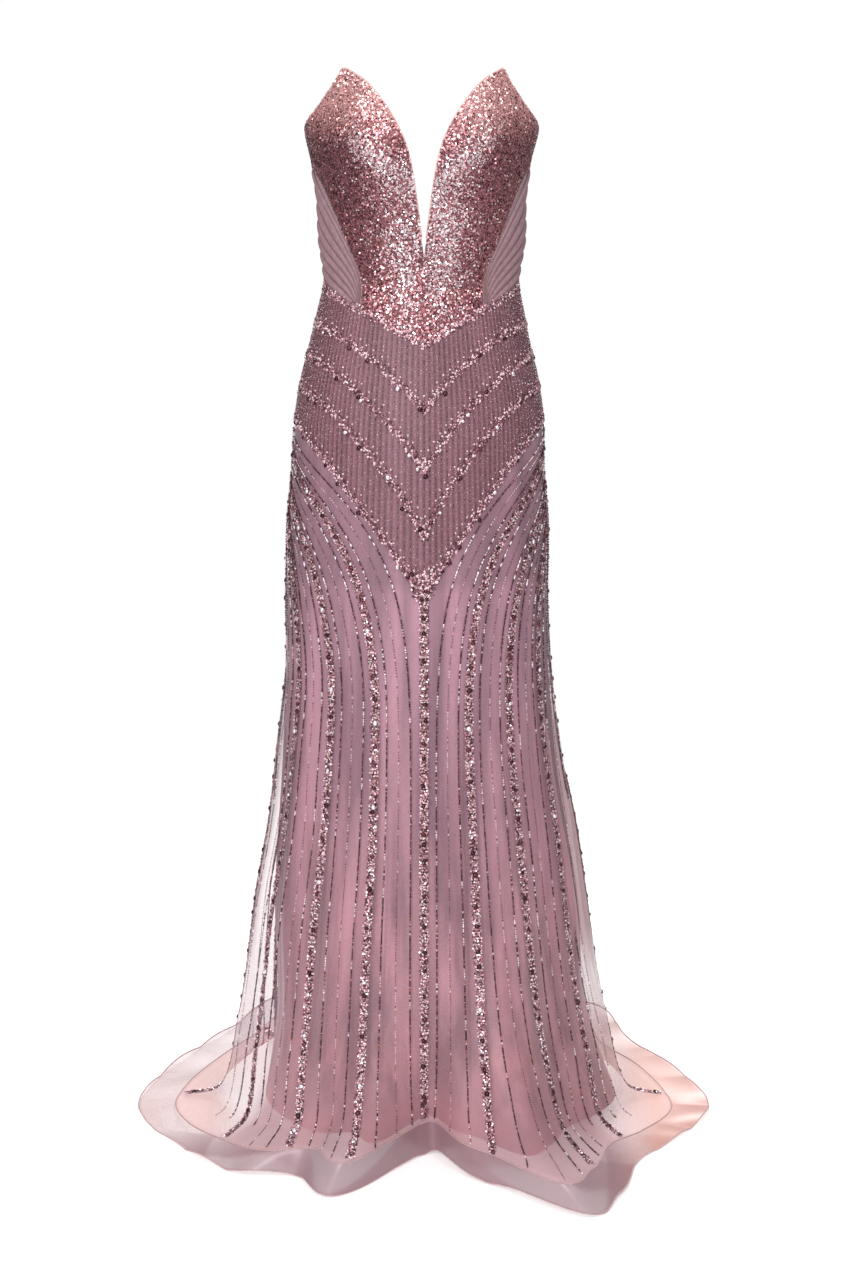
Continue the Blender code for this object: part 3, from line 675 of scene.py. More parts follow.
bandFinish = {
    "colour": (0.35, 0.23, 0.265),
    "warm": (0.56, 0.25, 0.19),
    "warmer": 0.52,
    "open": 0.2,
    "thread": 0.3,
    # colour where folds overlap; on the band's front it is also painted shade
    "gather": (0.27, 0.15, 0.178),
    "dense": 0.95,
    "cell": 0.0024,
    "roughness": 0.35,
}
band = {"step": 0.75, "rows": 9, "ripple": 0.0060, "cordRadius": 0.0009, "cordInset": 0.001}
bandCloth = makeTulle("horsehair band", bandFinish)
cordCloth = makePlain("rolled edge", (0.50, 0.34, 0.35), 0.45)


# The band ripples a little towards its outer edge.
def bandPoint(angle, down):
    part = (down - form["bandTop"]) / (form["hem"] - form["bandTop"])
    point = ringPoint(angle, down, tulleTable)
    point[..., 2] += np.abs(band["ripple"] * part * sine(angle * 13.0) * sine(angle * 3.0 + 40.0))
    return point


for word, first, last in panels:
    columns = np.linspace(first, last, int(round((last - first) / band["step"])) + 1)
    rows = np.linspace(form["bandTop"], form["hem"], band["rows"])
    down, angle = np.meshgrid(rows, columns, indexing="ij")
    uv = np.stack([angle / 360.0, down], axis=-1)
    sheet = addCloth("hemBand" + word, bandPoint(angle, down), bandCloth, "horsehair_band", uv)
    # the band's front is made denser and darker: painted shade of the lining above
    front = 0.62 * share((66.0 - np.abs(turned(angle))) / 26.0)
    mark(sheet.data, "gather", share(overlap(angle + 3.0, down) + front))
allRound = np.arange(0.0, 360.0, band["step"])
for name, down in (("bandSeamCord", form["bandTop"]), ("bandEdgeCord", form["hem"] - band["cordInset"])):
    path = bandPoint(allRound, np.full(allRound.shape, down))
    addTube(name, path, band["cordRadius"], cordCloth, "horsehair_band", sides=6, closed=True)
print("stage: hem band")

bodice = {
    # inner edge by x and z, outer edge by angle and z
    "frontRows": np.array([
        (0.0, -0.071, 36.0, -0.0313),
        (0.0, -0.035, 37.5, 0.0),
        (0.0, 0.0, 40.5, 0.025),
        (0.0, 0.031, 46.0, 0.05),
        (0.003, 0.057, 51.5, 0.07),
        (0.0062, 0.083, 58.0, 0.09),
        (0.0098, 0.11, 66.0, 0.113),
        (0.0128, 0.13, 75.0, 0.128),
        (0.017, 0.152, 89.2, 0.14),
        (0.0235, 0.173, 90.0, 0.144),
        (0.034, 0.195, 90.0, 0.18),
        (0.048, 0.216, 66.0, 0.202),
        (0.068, 0.238, 51.0, 0.229),
        (0.0915, 0.2525, 43.0, 0.2515),
    ]),
    "rows": 110,
    "columns": 70,
    "hiddenRows": 60,  # of a back and of a side insert
    "wall": 0.0016,
    "backTopZ": 0.012,
    "backCurve": 1.15,
    "openRow": 4,  # the plunge opens above this row of the front
    "insertTopRow": 8,
    "underarmRow": 10,
    "bowRows": 3.0,  # rows over which a panel's lower edge straightens from the waist seam's curve
}


# The front's rows at finer steps, smooth up to the underarm seam and again above it.
def fineFrontRows(count):
    rows = bodice["frontRows"]
    corner = bodice["underarmRow"]
    at = np.linspace(0.0, len(rows) - 1.0, count)
    lower, upper = at <= corner, at > corner
    knots = np.arange(len(rows), dtype=float)
    columns = [
        np.concatenate([
            smooth(at[lower], knots[: corner + 1], rows[: corner + 1, k]),
            smooth(at[upper], knots[corner:], rows[corner:, k]),
        ])
        for k in range(4)
    ]
    return at, columns


# A front by angle and height: even steps from the edge of the plunge to the outer edge on each row, and the
# lowest rows bend to the waist seam.
def frontGrid(side, rowCount, columnCount):
    at, (innerX, innerZ, outerAngle, outerZ) = fineFrontRows(rowCount)
    table = form["levels"][::-1]
    halfWidth = smooth(innerZ, table[:, 0], table[:, 2 if side > 0 else 1])
    innerAngle = np.degrees(np.arcsin(share(innerX) / halfWidth))
    part = np.linspace(0.0, 1.0, columnCount)
    angle = innerAngle[:, None] + (outerAngle - innerAngle)[:, None] * part
    z = innerZ[:, None] + (outerZ - innerZ)[:, None] * part
    bow = share(1.0 - at / bodice["bowRows"])
    z = z + bow[:, None] * (seamZ(angle[0]) - z[0])
    return angle, z


# The top edge of the back drops from the underarm to the zip by a power of the angle that is left.
def backTopZ(angle):
    rest = 1.0 - (angle - 90.0) / 90.0
    top = bodice["frontRows"][bodice["underarmRow"], 3]
    return bodice["backTopZ"] + (top - bodice["backTopZ"]) * rest ** bodice["backCurve"]


# A side insert: even steps from the front's outer edge to its mirror image at the back on each row.
def insertGrid(rowCount, columnCount):
    rows = bodice["frontRows"][: bodice["insertTopRow"] + 1]
    knots = np.arange(len(rows), dtype=float)
    at = np.linspace(0.0, knots[-1], rowCount)
    front, height = smooth(at, knots, rows[:, 2]), smooth(at, knots, rows[:, 3])
    part = np.linspace(0.0, 1.0, columnCount)
    angle = front[:, None] + (180.0 - 2 * front)[:, None] * part
    bow = share(1.0 - at / bodice["bowRows"])
    z = height[:, None] + bow[:, None] * (seamZ(angle[0]) - height[0])
    return angle, z


# A back: even steps up from the insert's rear edge and the waist seam to the top edge.
def backGrid(rowCount):
    insertAngle, insertZ = insertGrid(41, 3)
    waist = np.linspace(insertAngle[0, -1], 180.0, 31)[1:]
    lowAngle = np.concatenate([insertAngle[::-1, -1], waist])
    lowZ = np.concatenate([insertZ[::-1, -1], seamZ(waist)])
    part = np.linspace(0.0, 1.0, rowCount)[:, None]
    angle = np.repeat(lowAngle[None], rowCount, axis=0)
    angle[1:, 0] = 90.0
    return angle, lowZ + (backTopZ(angle) - lowZ) * part


def bodicePoint(angle, z):
    return ringPoint(angle, -np.asarray(z, float), tulleTable)


def bodiceNormal(angle, z):
    return ringNormal(angle, -np.asarray(z, float), tulleTable)


# A point lifted off the bodice by some height.
def lifted(angle, z, height):
    return bodicePoint(angle, z) + bodiceNormal(angle, z) * height


# Puts a grid of angles and heights in the order that makes its faces point outwards.
def outwards(angle, z, side):
    angle, z = angle[::-1] * side, z[::-1]
    return (angle, z) if side > 0 else (angle[:, ::-1], z[:, ::-1])


meshFinish = {
    "colour": (0.36, 0.25, 0.28),
    "warm": (0.36, 0.25, 0.28),
    "warmer": 0.0,
    "open": 0.72,
    "thread": 0.92,
    "cell": 0.002,
    "roughness": 0.6,
}
insertCloth = makeTulle("side mesh", meshFinish)
sides = ((1, "Left"), (-1, "Right"))
for side, word in sides:
    front = outwards(*frontGrid(side, bodice["rows"], bodice["columns"]), side)
    angle, z = backGrid(bodice["hiddenRows"])
    angle = np.minimum(angle, 180.0 - np.degrees(zipPiece["besideZip"] / zipPiece["backDepth"]))
    back = outwards(angle, z, side)
    insert = outwards(*insertGrid(bodice["hiddenRows"], 60), side)
    for title, grid in (("bodiceFront", front), ("bodiceBack", back)):
        addCloth(title + word, bodicePoint(*grid), ground, "sequined_cloth", None, bodice["wall"], satin)
    addCloth("sideInsert" + word, bodicePoint(*insert), insertCloth, "side_mesh")

trim = {"bindingRadius": 0.0012, "boneRadius": 0.0018, "boneFoot": -0.006, "boneTop": 0.140}
fan = {
    "heights": (0.122, 0.1, 0.079, 0.059, 0.04, 0.022, 0.006),
    "top": 0.137,
    "foot": -0.03,
    "corner": 38.0,  # degrees from the centre where all the cords start
    "cordRadius": 0.0009,
    "cordLift": 0.0007,
    "paddingEdge": 0.08,  # share of the way between two cords that a strip of padding leaves bare
    "swell": 0.0026,
    "rise": 0.0008,
}
paddingCloth = makePlain("padded mesh", (0.300, 0.190, 0.214), 0.7)
insertCord = makePlain("insert cord", (0.20, 0.105, 0.12), 0.6)
boneCloth = makePlain("side bone casing", (0.42, 0.25, 0.22), 0.6)


# A fan cord: from the corner of the insert it rises to its own height at the side by a root of the way.
def fanPath(height, flip):
    run = np.linspace(0.0, 1.0, 48) ** 1.8
    power = 0.42 + 0.30 * share(1.0 - (height - fan["foot"]) / 0.15)
    away = fan["corner"] + (90.0 - fan["corner"]) * run
    z = fan["foot"] + (height - fan["foot"]) * run**power
    return (away if flip > 0 else 180.0 - away), z


# A strip of padding between two fan cords: half a sine wave across, flat where the cords crowd together.
def paddingStrip(upper, lower, flip, side):
    edge = fan["paddingEdge"]
    across = np.linspace(edge, 1.0 - edge, 7)[:, None]
    angle, z = fanPath(upper + (lower - upper) * across, flip)
    wide = share((np.minimum(angle, 180.0 - angle) - fan["corner"]) / 30.0)
    rise = fan["swell"] * np.sin(np.pi * (across - edge) / (1.0 - 2 * edge)) * wide + fan["rise"]
    return lifted(angle * side, z, rise[..., None])


for side, word in sides:
    at, _ = fineFrontRows(bodice["rows"])
    angle, z = frontGrid(side, bodice["rows"], 3)
    neck, top = at >= bodice["openRow"], at >= bodice["underarmRow"]
    backTop = np.minimum(backGrid(12)[0][-1, 1:], zipPiece["keepOff"])
    pathAngle = np.concatenate([angle[neck, 0], angle[top, -1][::-1], backTop]) * side
    pathZ = np.concatenate([z[neck, 0], z[top, -1][::-1], backTopZ(backTop)])
    path = lifted(pathAngle, pathZ, -bodice["wall"] / 2)
    name = "necklineBinding" + word
    addTube(name, path, trim["bindingRadius"], bindingCloth, "binding", nodeOf(name))
    for end, flip in (("Front", 1.0), ("Back", -1.0)):
        for number, height in enumerate(fan["heights"]):
            angle, z = fanPath(height, flip)
            path = lifted(angle * side, z, fan["cordLift"])
            name = "insertCord" + word + end + str(number)
            addTube(name, path, fan["cordRadius"], insertCord, "side_mesh", sides=6)
        uppers = (fan["top"], *fan["heights"][:-1])
        strips = [paddingStrip(upper, lower, flip, side) for upper, lower in zip(uppers, fan["heights"])]
        faces = facesOfGrids(strips)
        name = "insertPadding" + word + end
        mesh = makeMesh(name, np.concatenate(strips), faces if flip * side > 0 else faces[:, ::-1])
        addPiece(name, mesh, paddingCloth, "side_mesh")
    boneZ = np.linspace(trim["boneFoot"], trim["boneTop"], 40)
    path = bodicePoint(90.0 * side, boneZ)
    addTube("sideBone" + word, path, trim["boneRadius"], boneCloth, "side_mesh")

# The zip: a woven tape down the centre back, two rows of teeth that interlock, and the metal slider and tab.
z = np.linspace(zipPiece["endZ"], zipPiece["topZ"], 60)
half = np.interp(z, [zipPiece["endZ"], zipPiece["hipZ"]], [zipPiece["tailHalf"], zipPiece["half"]])
across = half[:, None, None] * np.linspace(1.0, -1.0, 5)[:, None] * np.array([1.0, 0.0, 0.0])
tape = bodicePoint(180.0, z)[:, None] + across - bodiceNormal(180.0, z)[:, None] * zipPiece["tapeSink"]
tapeCloth = makePlain("zip tape", (0.36, 0.20, 0.24), 0.8)
addCloth("zipTape", tape[::-1], tapeCloth, "zip_tape", cadNode="zip_chain")
toothZ = np.arange(zipPiece["hipZ"], zipPiece["topZ"] - 0.002, zipPiece["toothPitch"] / 2)
side = np.where(np.arange(len(toothZ)) % 2 == 0, 1.0, -1.0)
centre = lifted(180.0, toothZ, -zipPiece["toothSink"])
centre[:, 0] += side * zipPiece["toothAside"]
corner = np.array([(x, y, z) for x in (-1, 1) for y in (-1, 1) for z in (-1, 1)], float)
corner[:, [1, 2]] *= np.where(corner[:, :1] > 0, 0.7, 1.0)  # a tooth is narrower at its tip
points = centre[:, None] + corner * zipPiece["tooth"] * np.stack([-side, 1 + 0 * side, 1 + 0 * side], 1)[:, None]
box = np.array([(0, 1, 3, 2), (4, 6, 7, 5), (0, 4, 5, 1), (2, 3, 7, 6), (0, 2, 6, 4), (1, 5, 7, 3)])
faces = np.where(side[:, None, None] < 0, box, box[:, ::-1]) + (np.arange(len(side)) * 8)[:, None, None]
zipMetal = makePlain("zip metal", (0.72, 0.52, 0.46), 0.28, 1.0)
addPiece("zipTeeth", makeMesh("zipTeeth", points, faces.reshape(-1, 4), smoothed=False), zipMetal, "zip_metal")
for name in ("zip_slider", "zip_pull"):
    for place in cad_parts[name].material_slots:
        place.material = zipMetal
print("stage: bodice cloth")


# Corners of a regular ring.
def circle(count):
    turn = np.arange(count) * 2 * np.pi / count
    return np.stack([np.cos(turn), np.sin(turn), 0 * turn], 1)


# each small shape: its points, its faces and the painted shade of each point, a factor on its tint
octahedron = (
    np.array([(1, 0, 0), (0, 1, 0), (-1, 0, 0), (0, -1, 0), (0, 0, 1), (0, 0, -1)], float),
    np.array([(0, 1, 4), (1, 2, 4), (2, 3, 4), (3, 0, 4), (1, 0, 5), (2, 1, 5), (3, 2, 5), (0, 3, 5)]),
    np.ones(6),
)
bipyramid = (
    np.array([(1, 0, 0), (-0.5, 0.87, 0), (-0.5, -0.87, 0), (0, 0, 1), (0, 0, -1)], float),
    np.array([(0, 1, 3), (1, 2, 3), (2, 0, 3), (1, 0, 4), (2, 1, 4), (0, 2, 4)]),
    np.ones(5),
)
hexagon = (circle(6), np.arange(6)[None], np.ones(6))


# A round bead seen from above: a girdle darkened with painted shade, a raised ring lightened with a painted
# highlight and a hole painted dark as shade.
def beadShape():
    points = np.concatenate([circle(6) + (0, 0, -0.1), circle(6) * 0.6 + (0, 0, 0.62), [(0, 0, 0.3)]])
    here, ahead = np.arange(6), (np.arange(6) + 1) % 6
    faces = [(here, ahead, ahead + 6), (here, ahead + 6, here + 6), (here + 6, ahead + 6, np.full(6, 12))]
    paintedShade = np.concatenate([np.full(6, 0.6), np.full(6, 1.1), [0.1]])
    return points, np.concatenate([np.stack(face, 1) for face in faces]), paintedShade


# A cut stone: a flat eight-sided table, a ring of sloping facets and a girdle closed underneath.
def stoneShape():
    points = np.concatenate([circle(8) * 0.55 + (0, 0, 0.5), circle(8), [(0, 0, 0.5), (0, 0, -0.3)]])
    here, ahead = np.arange(8), (np.arange(8) + 1) % 8
    faces = [
        (here, ahead, np.full(8, 16)),
        (here, here + 8, ahead + 8),
        (here, ahead + 8, ahead),
        (ahead + 8, here + 8, np.full(8, 17)),
    ]
    return points, np.concatenate([np.stack(face, 1) for face in faces]), np.ones(18)


# One mesh of many copies: each is turned into its own frame, scaled and moved.
def scatter(name, shape, centre, normal, ahead, size, tint, material, slot, smoothed):
    points, faces, paintedShade = shape
    axes = np.stack([ahead, np.cross(normal, ahead), normal], axis=1)
    placed = centre[:, None] + np.einsum("pk,nk,nkc->npc", points, size, axes)
    shift = (np.arange(len(centre)) * len(points))[:, None, None]
    mesh = makeMesh(name, placed, (faces + shift).reshape(-1, faces.shape[1]), smoothed=smoothed)
    # each point's tint is multiplied by the shape's painted shade
    mark(mesh, "tint", np.asarray(tint)[:, None] * paintedShade)
    addPiece(name, mesh, material, slot)
    print("  ", name, len(centre), "copies")


def sizes(count, radius, low=0.85, high=1.15):
    return np.repeat((radius * rng.uniform(low, high, count))[:, None], 3, axis=1)


# Tilts each normal by a random amount and gives a random direction across it.
def tilted(normal, amount):
    normal = unit(normal + rng.normal(0.0, amount, normal.shape))
    along = unit(np.cross(normal, unit(rng.normal(0.0, 1.0, normal.shape))))
    return normal, along


# Whether each point lies inside a closed outline: counts the crossings of a level line.
def inside(x, y, outline):
    x0, y0 = outline[:, 0], outline[:, 1]
    x1, y1 = np.roll(x0, -1), np.roll(y0, -1)
    spans = (y0 <= y[:, None]) != (y1 <= y[:, None])
    cross = x0 + (y[:, None] - y0) / np.where(y1 == y0, 1e-9, y1 - y0) * (x1 - x0)
    return (spans & (x[:, None] < cross)).sum(1) % 2 == 1


def outlineOf(*grid):
    around = [(0, slice(None)), (slice(1, None), -1), (-1, slice(-2, None, -1)), (slice(-2, 0, -1), 0)]
    return np.stack([np.concatenate([values[place] for place in around]) for values in grid], 1)


sequins = {
    "pitch": 0.0019,
    "radius": 0.00112,
    "tilt": 0.22,
    "lift": 0.0009,
    "rows": (-0.075, 0.256),  # lowest and highest
    "reach": 0.4,  # length round from the centre front
    "offZip": 177.5,  # degrees
}


# Sequins all over one bodice panel: rows of even pitch, each moved a little at random.
def panelSequins(side, outline):
    pitch = sequins["pitch"]
    z = np.arange(*sequins["rows"], pitch * 0.87)
    height, arc = np.meshgrid(z, np.arange(0.0, sequins["reach"], pitch), indexing="ij")
    arc = arc + (np.arange(len(z)) % 2)[:, None] * pitch / 2
    height = height + rng.normal(0.0, pitch * 0.16, height.shape)
    arc = arc + rng.normal(0.0, pitch * 0.16, arc.shape)
    # arc length to angle on a ring, from the ring's own length
    ringAngle = np.linspace(0.0, 180.0, 61)
    ring = bodicePoint(ringAngle[None] * side, z[:, None])
    steps = np.linalg.norm(np.diff(ring, axis=1), axis=-1)
    length = np.hstack([np.zeros((len(z), 1)), np.cumsum(steps, 1)])
    angle = np.stack([np.interp(a, l, ringAngle, right=400.0) for a, l in zip(arc, length)])
    angle, height = angle.ravel(), height.ravel()
    keep = inside(angle, height, outline)
    return angle[keep] * side, height[keep]


def bell(value, middle, width):
    return np.exp(-(((value - middle) / width) ** 2))


# Tint of each sequin, part their own colour and part painted light. Pale clusters, part pale sequins and part
# painted glints, lie in a sloping band under each cup's top and in a column beside the plunge; the outer side is
# darker with painted shade, the cup's top rosier and lighter with painted light, and a painted highlight lies high
# on the wearer's left cup.
def sequinTints(side, away, z):
    count = len(z)
    band = bell(z, 0.12 + 0.0017 * (away - 6.0), 0.021) * share((44.0 - away) / 12.0)
    column = bell(away, 11.0, 12.0) * share((0.15 - z) / 0.03) * np.clip(0.75 + z * 9.0, 0.1, 1.0)
    paleAndGlintZone = np.maximum(band, column * (0.95 if side > 0 else 0.8 - 0.25 * bell(z, 0.09, 0.02)))
    # painted light: the cups' tops turn lighter and rosier
    top = share((z - 0.165) / 0.045)
    # painted shade: the outer side turns darker
    dark = share((away - 24.0) / 16.0) * share((0.185 - z) / 0.035)
    patch = np.sin(away * 0.9 + z * 130.0) * np.sin(away * 0.35 - z * 210.0 + 1.3)
    # a painted highlight high on the wearer's left cup
    paintedHighlight = bell(away, 27.0, 9.0) * bell(z, 0.207, 0.018) * (side > 0)
    pale = np.clip(0.06 + 0.48 * paleAndGlintZone + 0.05 * top - 0.04 * dark + 0.04 * patch + 0.3 * paintedHighlight, 0.01, 0.8)
    base = 0.38 + 0.09 * paleAndGlintZone + 0.35 * top - (-0.01 if side > 0 else 0.06) * dark + 0.03 * patch
    tint = np.clip(base + rng.normal(0.0, 0.085, count), 0.05, 0.82)
    # sequins turned pale: some are pale sequins, some painted glints
    tint = np.where(rng.random(count) < pale, rng.uniform(0.86, 1.0, count) - 0.1 * top, tint)
    # near-black sequins: painted dark reflections
    return np.where(rng.random(count) < 0.08 * (1.0 - paleAndGlintZone) * (1.0 - 0.85 * top), 0.06, tint)


for side, word in sides:
    for part, grid in (("Front", frontGrid(side, 60, 20)), ("Back", backGrid(20))):
        angle, z = panelSequins(side, outlineOf(*grid))
        keep = np.abs(angle) < sequins["offZip"]
        angle, z = angle[keep], z[keep]
        count = len(angle)
        centre = lifted(angle, z, sequins["lift"] + rng.uniform(-0.0003, 0.0004, (count, 1)))
        normal, ahead = tilted(bodiceNormal(angle, z), sequins["tilt"])
        size = np.full((count, 3), sequins["radius"]) * rng.uniform(0.85, 1.15, (count, 1))
        tint = sequinTints(side, np.minimum(np.abs(angle), 180.0 - np.abs(angle)), z)
        name = "sequins" + part + word
        scatter(name, hexagon, centre, normal, ahead, size, tint, sequinFoil, "sequined_cloth", False)
print("stage: bodice sequins")

lines = {
    # the wide lines by number: angle that each ends on, and way down at which it leaves the side
    "ends": np.array([(0.0, 0.0), (1.0, 18.5), (2.0, 38.5), (3.0, 61.0), (4.0, 90.0)]),
    "starts": np.array([(0.0, 0.172), (1.0, 0.207), (2.0, 0.245), (3.0, 0.272), (4.0, 0.295)]),
    "bend": 0.075,
    "gathered": 0.12,  # share of its angle that a line loses as the folds crowd towards the hem
    "stop": 1.098,
    "singleStop": 1.06,
    "backedStops": (1.05, 0.66),  # the second is for the lines nearest to the side
    "points": 420,
}


# A line leaves the side and closes on its own angle as it goes down, by a falling exponential.
def linePath(order):
    end, start = (float(smooth(np.array(order), *lines[key].T)) for key in ("ends", "starts"))
    down = start + (lines["stop"] - start) * np.linspace(0.0, 1.0, lines["points"])
    angle = end + (90.0 - end) * np.exp(-(down - start) / lines["bend"])
    return angle * (1.0 - lines["gathered"] * (order < 4) * share((down - 0.96) / 0.14) ** 1.5), down


# Turns a front path, given by its angle from 0 to 90, into the same path on any quarter of the dress.
def quarterAngle(away, quarter):
    side = 1.0 if quarter % 2 == 0 else -1.0
    return side * (away if quarter < 2 else 180.0 - away)


# Places evenly spaced by length along a path on the tulle, with the side direction there.
def along(angle, down, pitch, jitter=0.0):
    points, _ = tulleFrames(angle, down)
    length = np.concatenate([[0.0], np.cumsum(np.linalg.norm(np.diff(points, axis=0), axis=1))])
    at = np.arange(pitch / 2, length[-1], pitch)
    at = np.clip(at + rng.normal(0.0, 1.0, len(at)) * jitter, 0.0, length[-1])
    angle, down = np.interp(at, length, angle), np.interp(at, length, down)
    ahead = np.stack([np.interp(at, length, g) for g in unit(np.gradient(points, axis=0)).T], 1)
    centre, normal = tulleFrames(angle, down)
    ahead = unit(ahead - normal * np.sum(ahead * normal, 1, keepdims=True))
    return centre, normal, ahead, np.cross(normal, ahead)


# Gathers copies for one scattered mesh.
class Heap:
    def __init__(self):
        self.parts = []

    def add(self, centre, normal, ahead, size, tint):
        size = np.broadcast_to(size, (len(centre), 3))
        self.parts.append((centre, normal, ahead, size, np.broadcast_to(tint, (len(centre),))))

    def build(self, name, shape, material, smoothed=True):
        columns = [np.concatenate(column) for column in zip(*self.parts)]
        x, y, z = columns[0].T
        beside, below = zipPiece["beadless"]
        offZip = (np.abs(x) >= beside) | (y <= 0) | (z <= zipPiece["hipZ"] - below)
        scatter(name, shape, *(column[offZip] for column in columns), material, "beaded_tulle", smoothed)


beadwork = {
    "lift": 0.0008,
    "wide": (5, 0.0023, 0.00108),  # sequins across, their step and their radius
    "wideHalf": 0.0058,
    "centreHalf": 0.006,
    "single": (0.0034, 0.00115, 0.55),  # pitch, radius and pale share of the beads
    "backed": (0.0031, 0.00165, 0.5),
    "backedHalf": 0.0012,
    "bugle": (0.0046, 0.0012, 0.0012),
    "bugleDown": (0.29, 0.37),
    "copperRadius": 0.0014,
    "seedDegrees": 1.35,
    "seeds": ((0.0022, 0.0008, [0.1, 0.18, 0.25, 0.35, 0.7]), (0.0045, 0.00075, [0.5, 0.62, 0.8, 1.0])),
    "chevronHeight": 0.0095,
    "seamHeight": 0.01,
    "tipHeight": 0.022,
    "singles": (0.0135, 0.0112, 0.00135),  # rise over the chevron, pitch and radius
    # the stones: pitch, radius and how far they stray aside
    "wideStones": (0.033, 0.0031, 0.0006),
    "centreStones": (0.027, 0.003, 0.0006),
    "chevronStones": (0.038, 0.0029, 0.002),
    "tipStones": (0.012, 0.0027, 0.003),
}
# wide lines' sequin tints: rose ones, white ones as painted glints and near-black ones as painted dark reflections
lineTintsWithGlints = [0.06, 0.2, 0.36, 0.46, 0.54, 0.6, 0.66, 0.72, 0.8, 0.9, 1.0]
bandTints = [0.08, 0.2, 0.32, 0.45, 0.55, 0.65, 0.8, 0.97, 1.0]
wideSequins, thinBeads, chevronBeads, seedBeads, stones, copperBeads, bugles = (Heap() for _ in range(7))
ribbons = []


# A row of seed beads down the hip yoke.
def seedRow(path, pitch, radius, tints):
    centre, normal, ahead, across = along(*path, pitch, pitch * 0.4)
    count = len(centre)
    centre = centre + across * (rng.uniform(-1.0, 1.0, count) * 0.0002)[:, None] + normal * beadwork["lift"]
    normal, ahead = tilted(normal, 0.1)
    size = sizes(count, radius, 0.8, 1.2)
    seedBeads.add(centre, normal, ahead, size, rng.choice(tints, count) + rng.normal(0, 0.04, count))


# Single stones at uneven steps along a path: dark, rose or white.
def studs(path, tints, pitch, radius, aside):
    centre, normal, ahead, across = along(*path, pitch, pitch * 0.28)
    centre = centre + normal * 0.0016 + across * rng.normal(0.0, 1.0, (len(centre), 1)) * aside
    size = sizes(len(centre), radius) * (1.12, 0.92, 0.8)
    normal, ahead = tilted(normal, 0.06)
    stones.add(centre, normal, ahead, size, rng.choice(tints, len(centre)))


# A ribbon of bead ground laid along a path, as wide to both sides of it.
def ribbon(path, half):
    points, normal = tulleFrames(*path)
    across = unit(np.cross(normal, unit(np.gradient(points, axis=0))))
    reach = np.linspace(-half, half, 3)[:, None]
    ribbons.append((points[:, None] + across[:, None] * reach + normal[:, None] * 0.0004)[::2])


# Tints that come in runs along a line: a stretch of dark beads, then a few pale ones.
def runs(count, length, paleShare):
    knots = rng.random(max(int(count / length), 2) + 2)
    value = np.interp(np.linspace(0, len(knots) - 1.001, count), np.arange(len(knots)), knots)
    dark = rng.choice([0.02, 0.06, 0.12, 0.22, 0.45], count)
    pale = rng.choice([0.1, 0.6, 0.8, 0.95, 1.0], count)
    return np.where(value < paleShare * 0.8, pale, dark)


# A thin line: beads threaded one after another.
def beadLine(path, pitch, radius, paleShare):
    centre, normal, ahead, _ = along(*path, pitch, pitch * 0.08)
    size = sizes(len(centre), radius) * (1.15, 0.95, 0.9)
    thinBeads.add(centre + normal * beadwork["lift"], normal, ahead, size, runs(len(centre), 4, paleShare))


# A chevron band: closely set beads above a clean lower edge.
def chevronBand(path, thickness, pitch=0.00062):
    centre, normal, ahead, across = along(*path, pitch, pitch * 0.5)
    up = np.where(across[:, 2:] > 0, across, -across)
    rise = rng.random(len(centre)) ** 1.15 * thickness
    centre = centre + up * rise[:, None] + normal * 0.0009
    normal, ahead = tilted(normal, 0.3)
    size = np.repeat(rng.uniform(0.0011, 0.0018, len(centre))[:, None], 3, axis=1)
    chevronBeads.add(centre, normal, ahead, size, rng.choice(bandTints, len(centre)))


# A row of single pale beads over a chevron band.
def singleBeads(path, rise, pitch, radius):
    centre, normal, ahead, across = along(*path, pitch, 0.0012)
    up = np.where(across[:, 2:] > 0, across, -across)
    centre = centre + up * (rise + rng.normal(0.0, 0.0011, (len(centre), 1))) + normal * beadwork["lift"]
    chevronBeads.add(centre, normal, ahead, radius, rng.uniform(0.85, 1.0, len(centre)))


# Rows of small sequins across a wide line, staggered and a little uneven.
def latticeLine(path, columns, step, radius):
    centre, normal, ahead, across = along(*path, step, step * 0.15)
    place = (np.arange(columns) - (columns - 1) / 2) * step * 0.95
    stagger = (np.arange(len(centre)) % 2)[:, None] * step * 0.5 - step * 0.25
    offset = place[None] + stagger + rng.normal(0.0, step * 0.16, (len(centre), columns))
    shift = rng.normal(0.0, step * 0.2, offset.shape)
    points = centre[:, None] + across[:, None] * offset[..., None] + ahead[:, None] * shift[..., None]
    points = (points + normal[:, None] * 0.0009).reshape(-1, 3)
    normal, ahead = tilted(np.repeat(normal, columns, axis=0), 0.3)
    wideSequins.add(points, normal, ahead, sizes(len(points), radius, 0.85, 1.2), rng.choice(lineTintsWithGlints, len(points)))


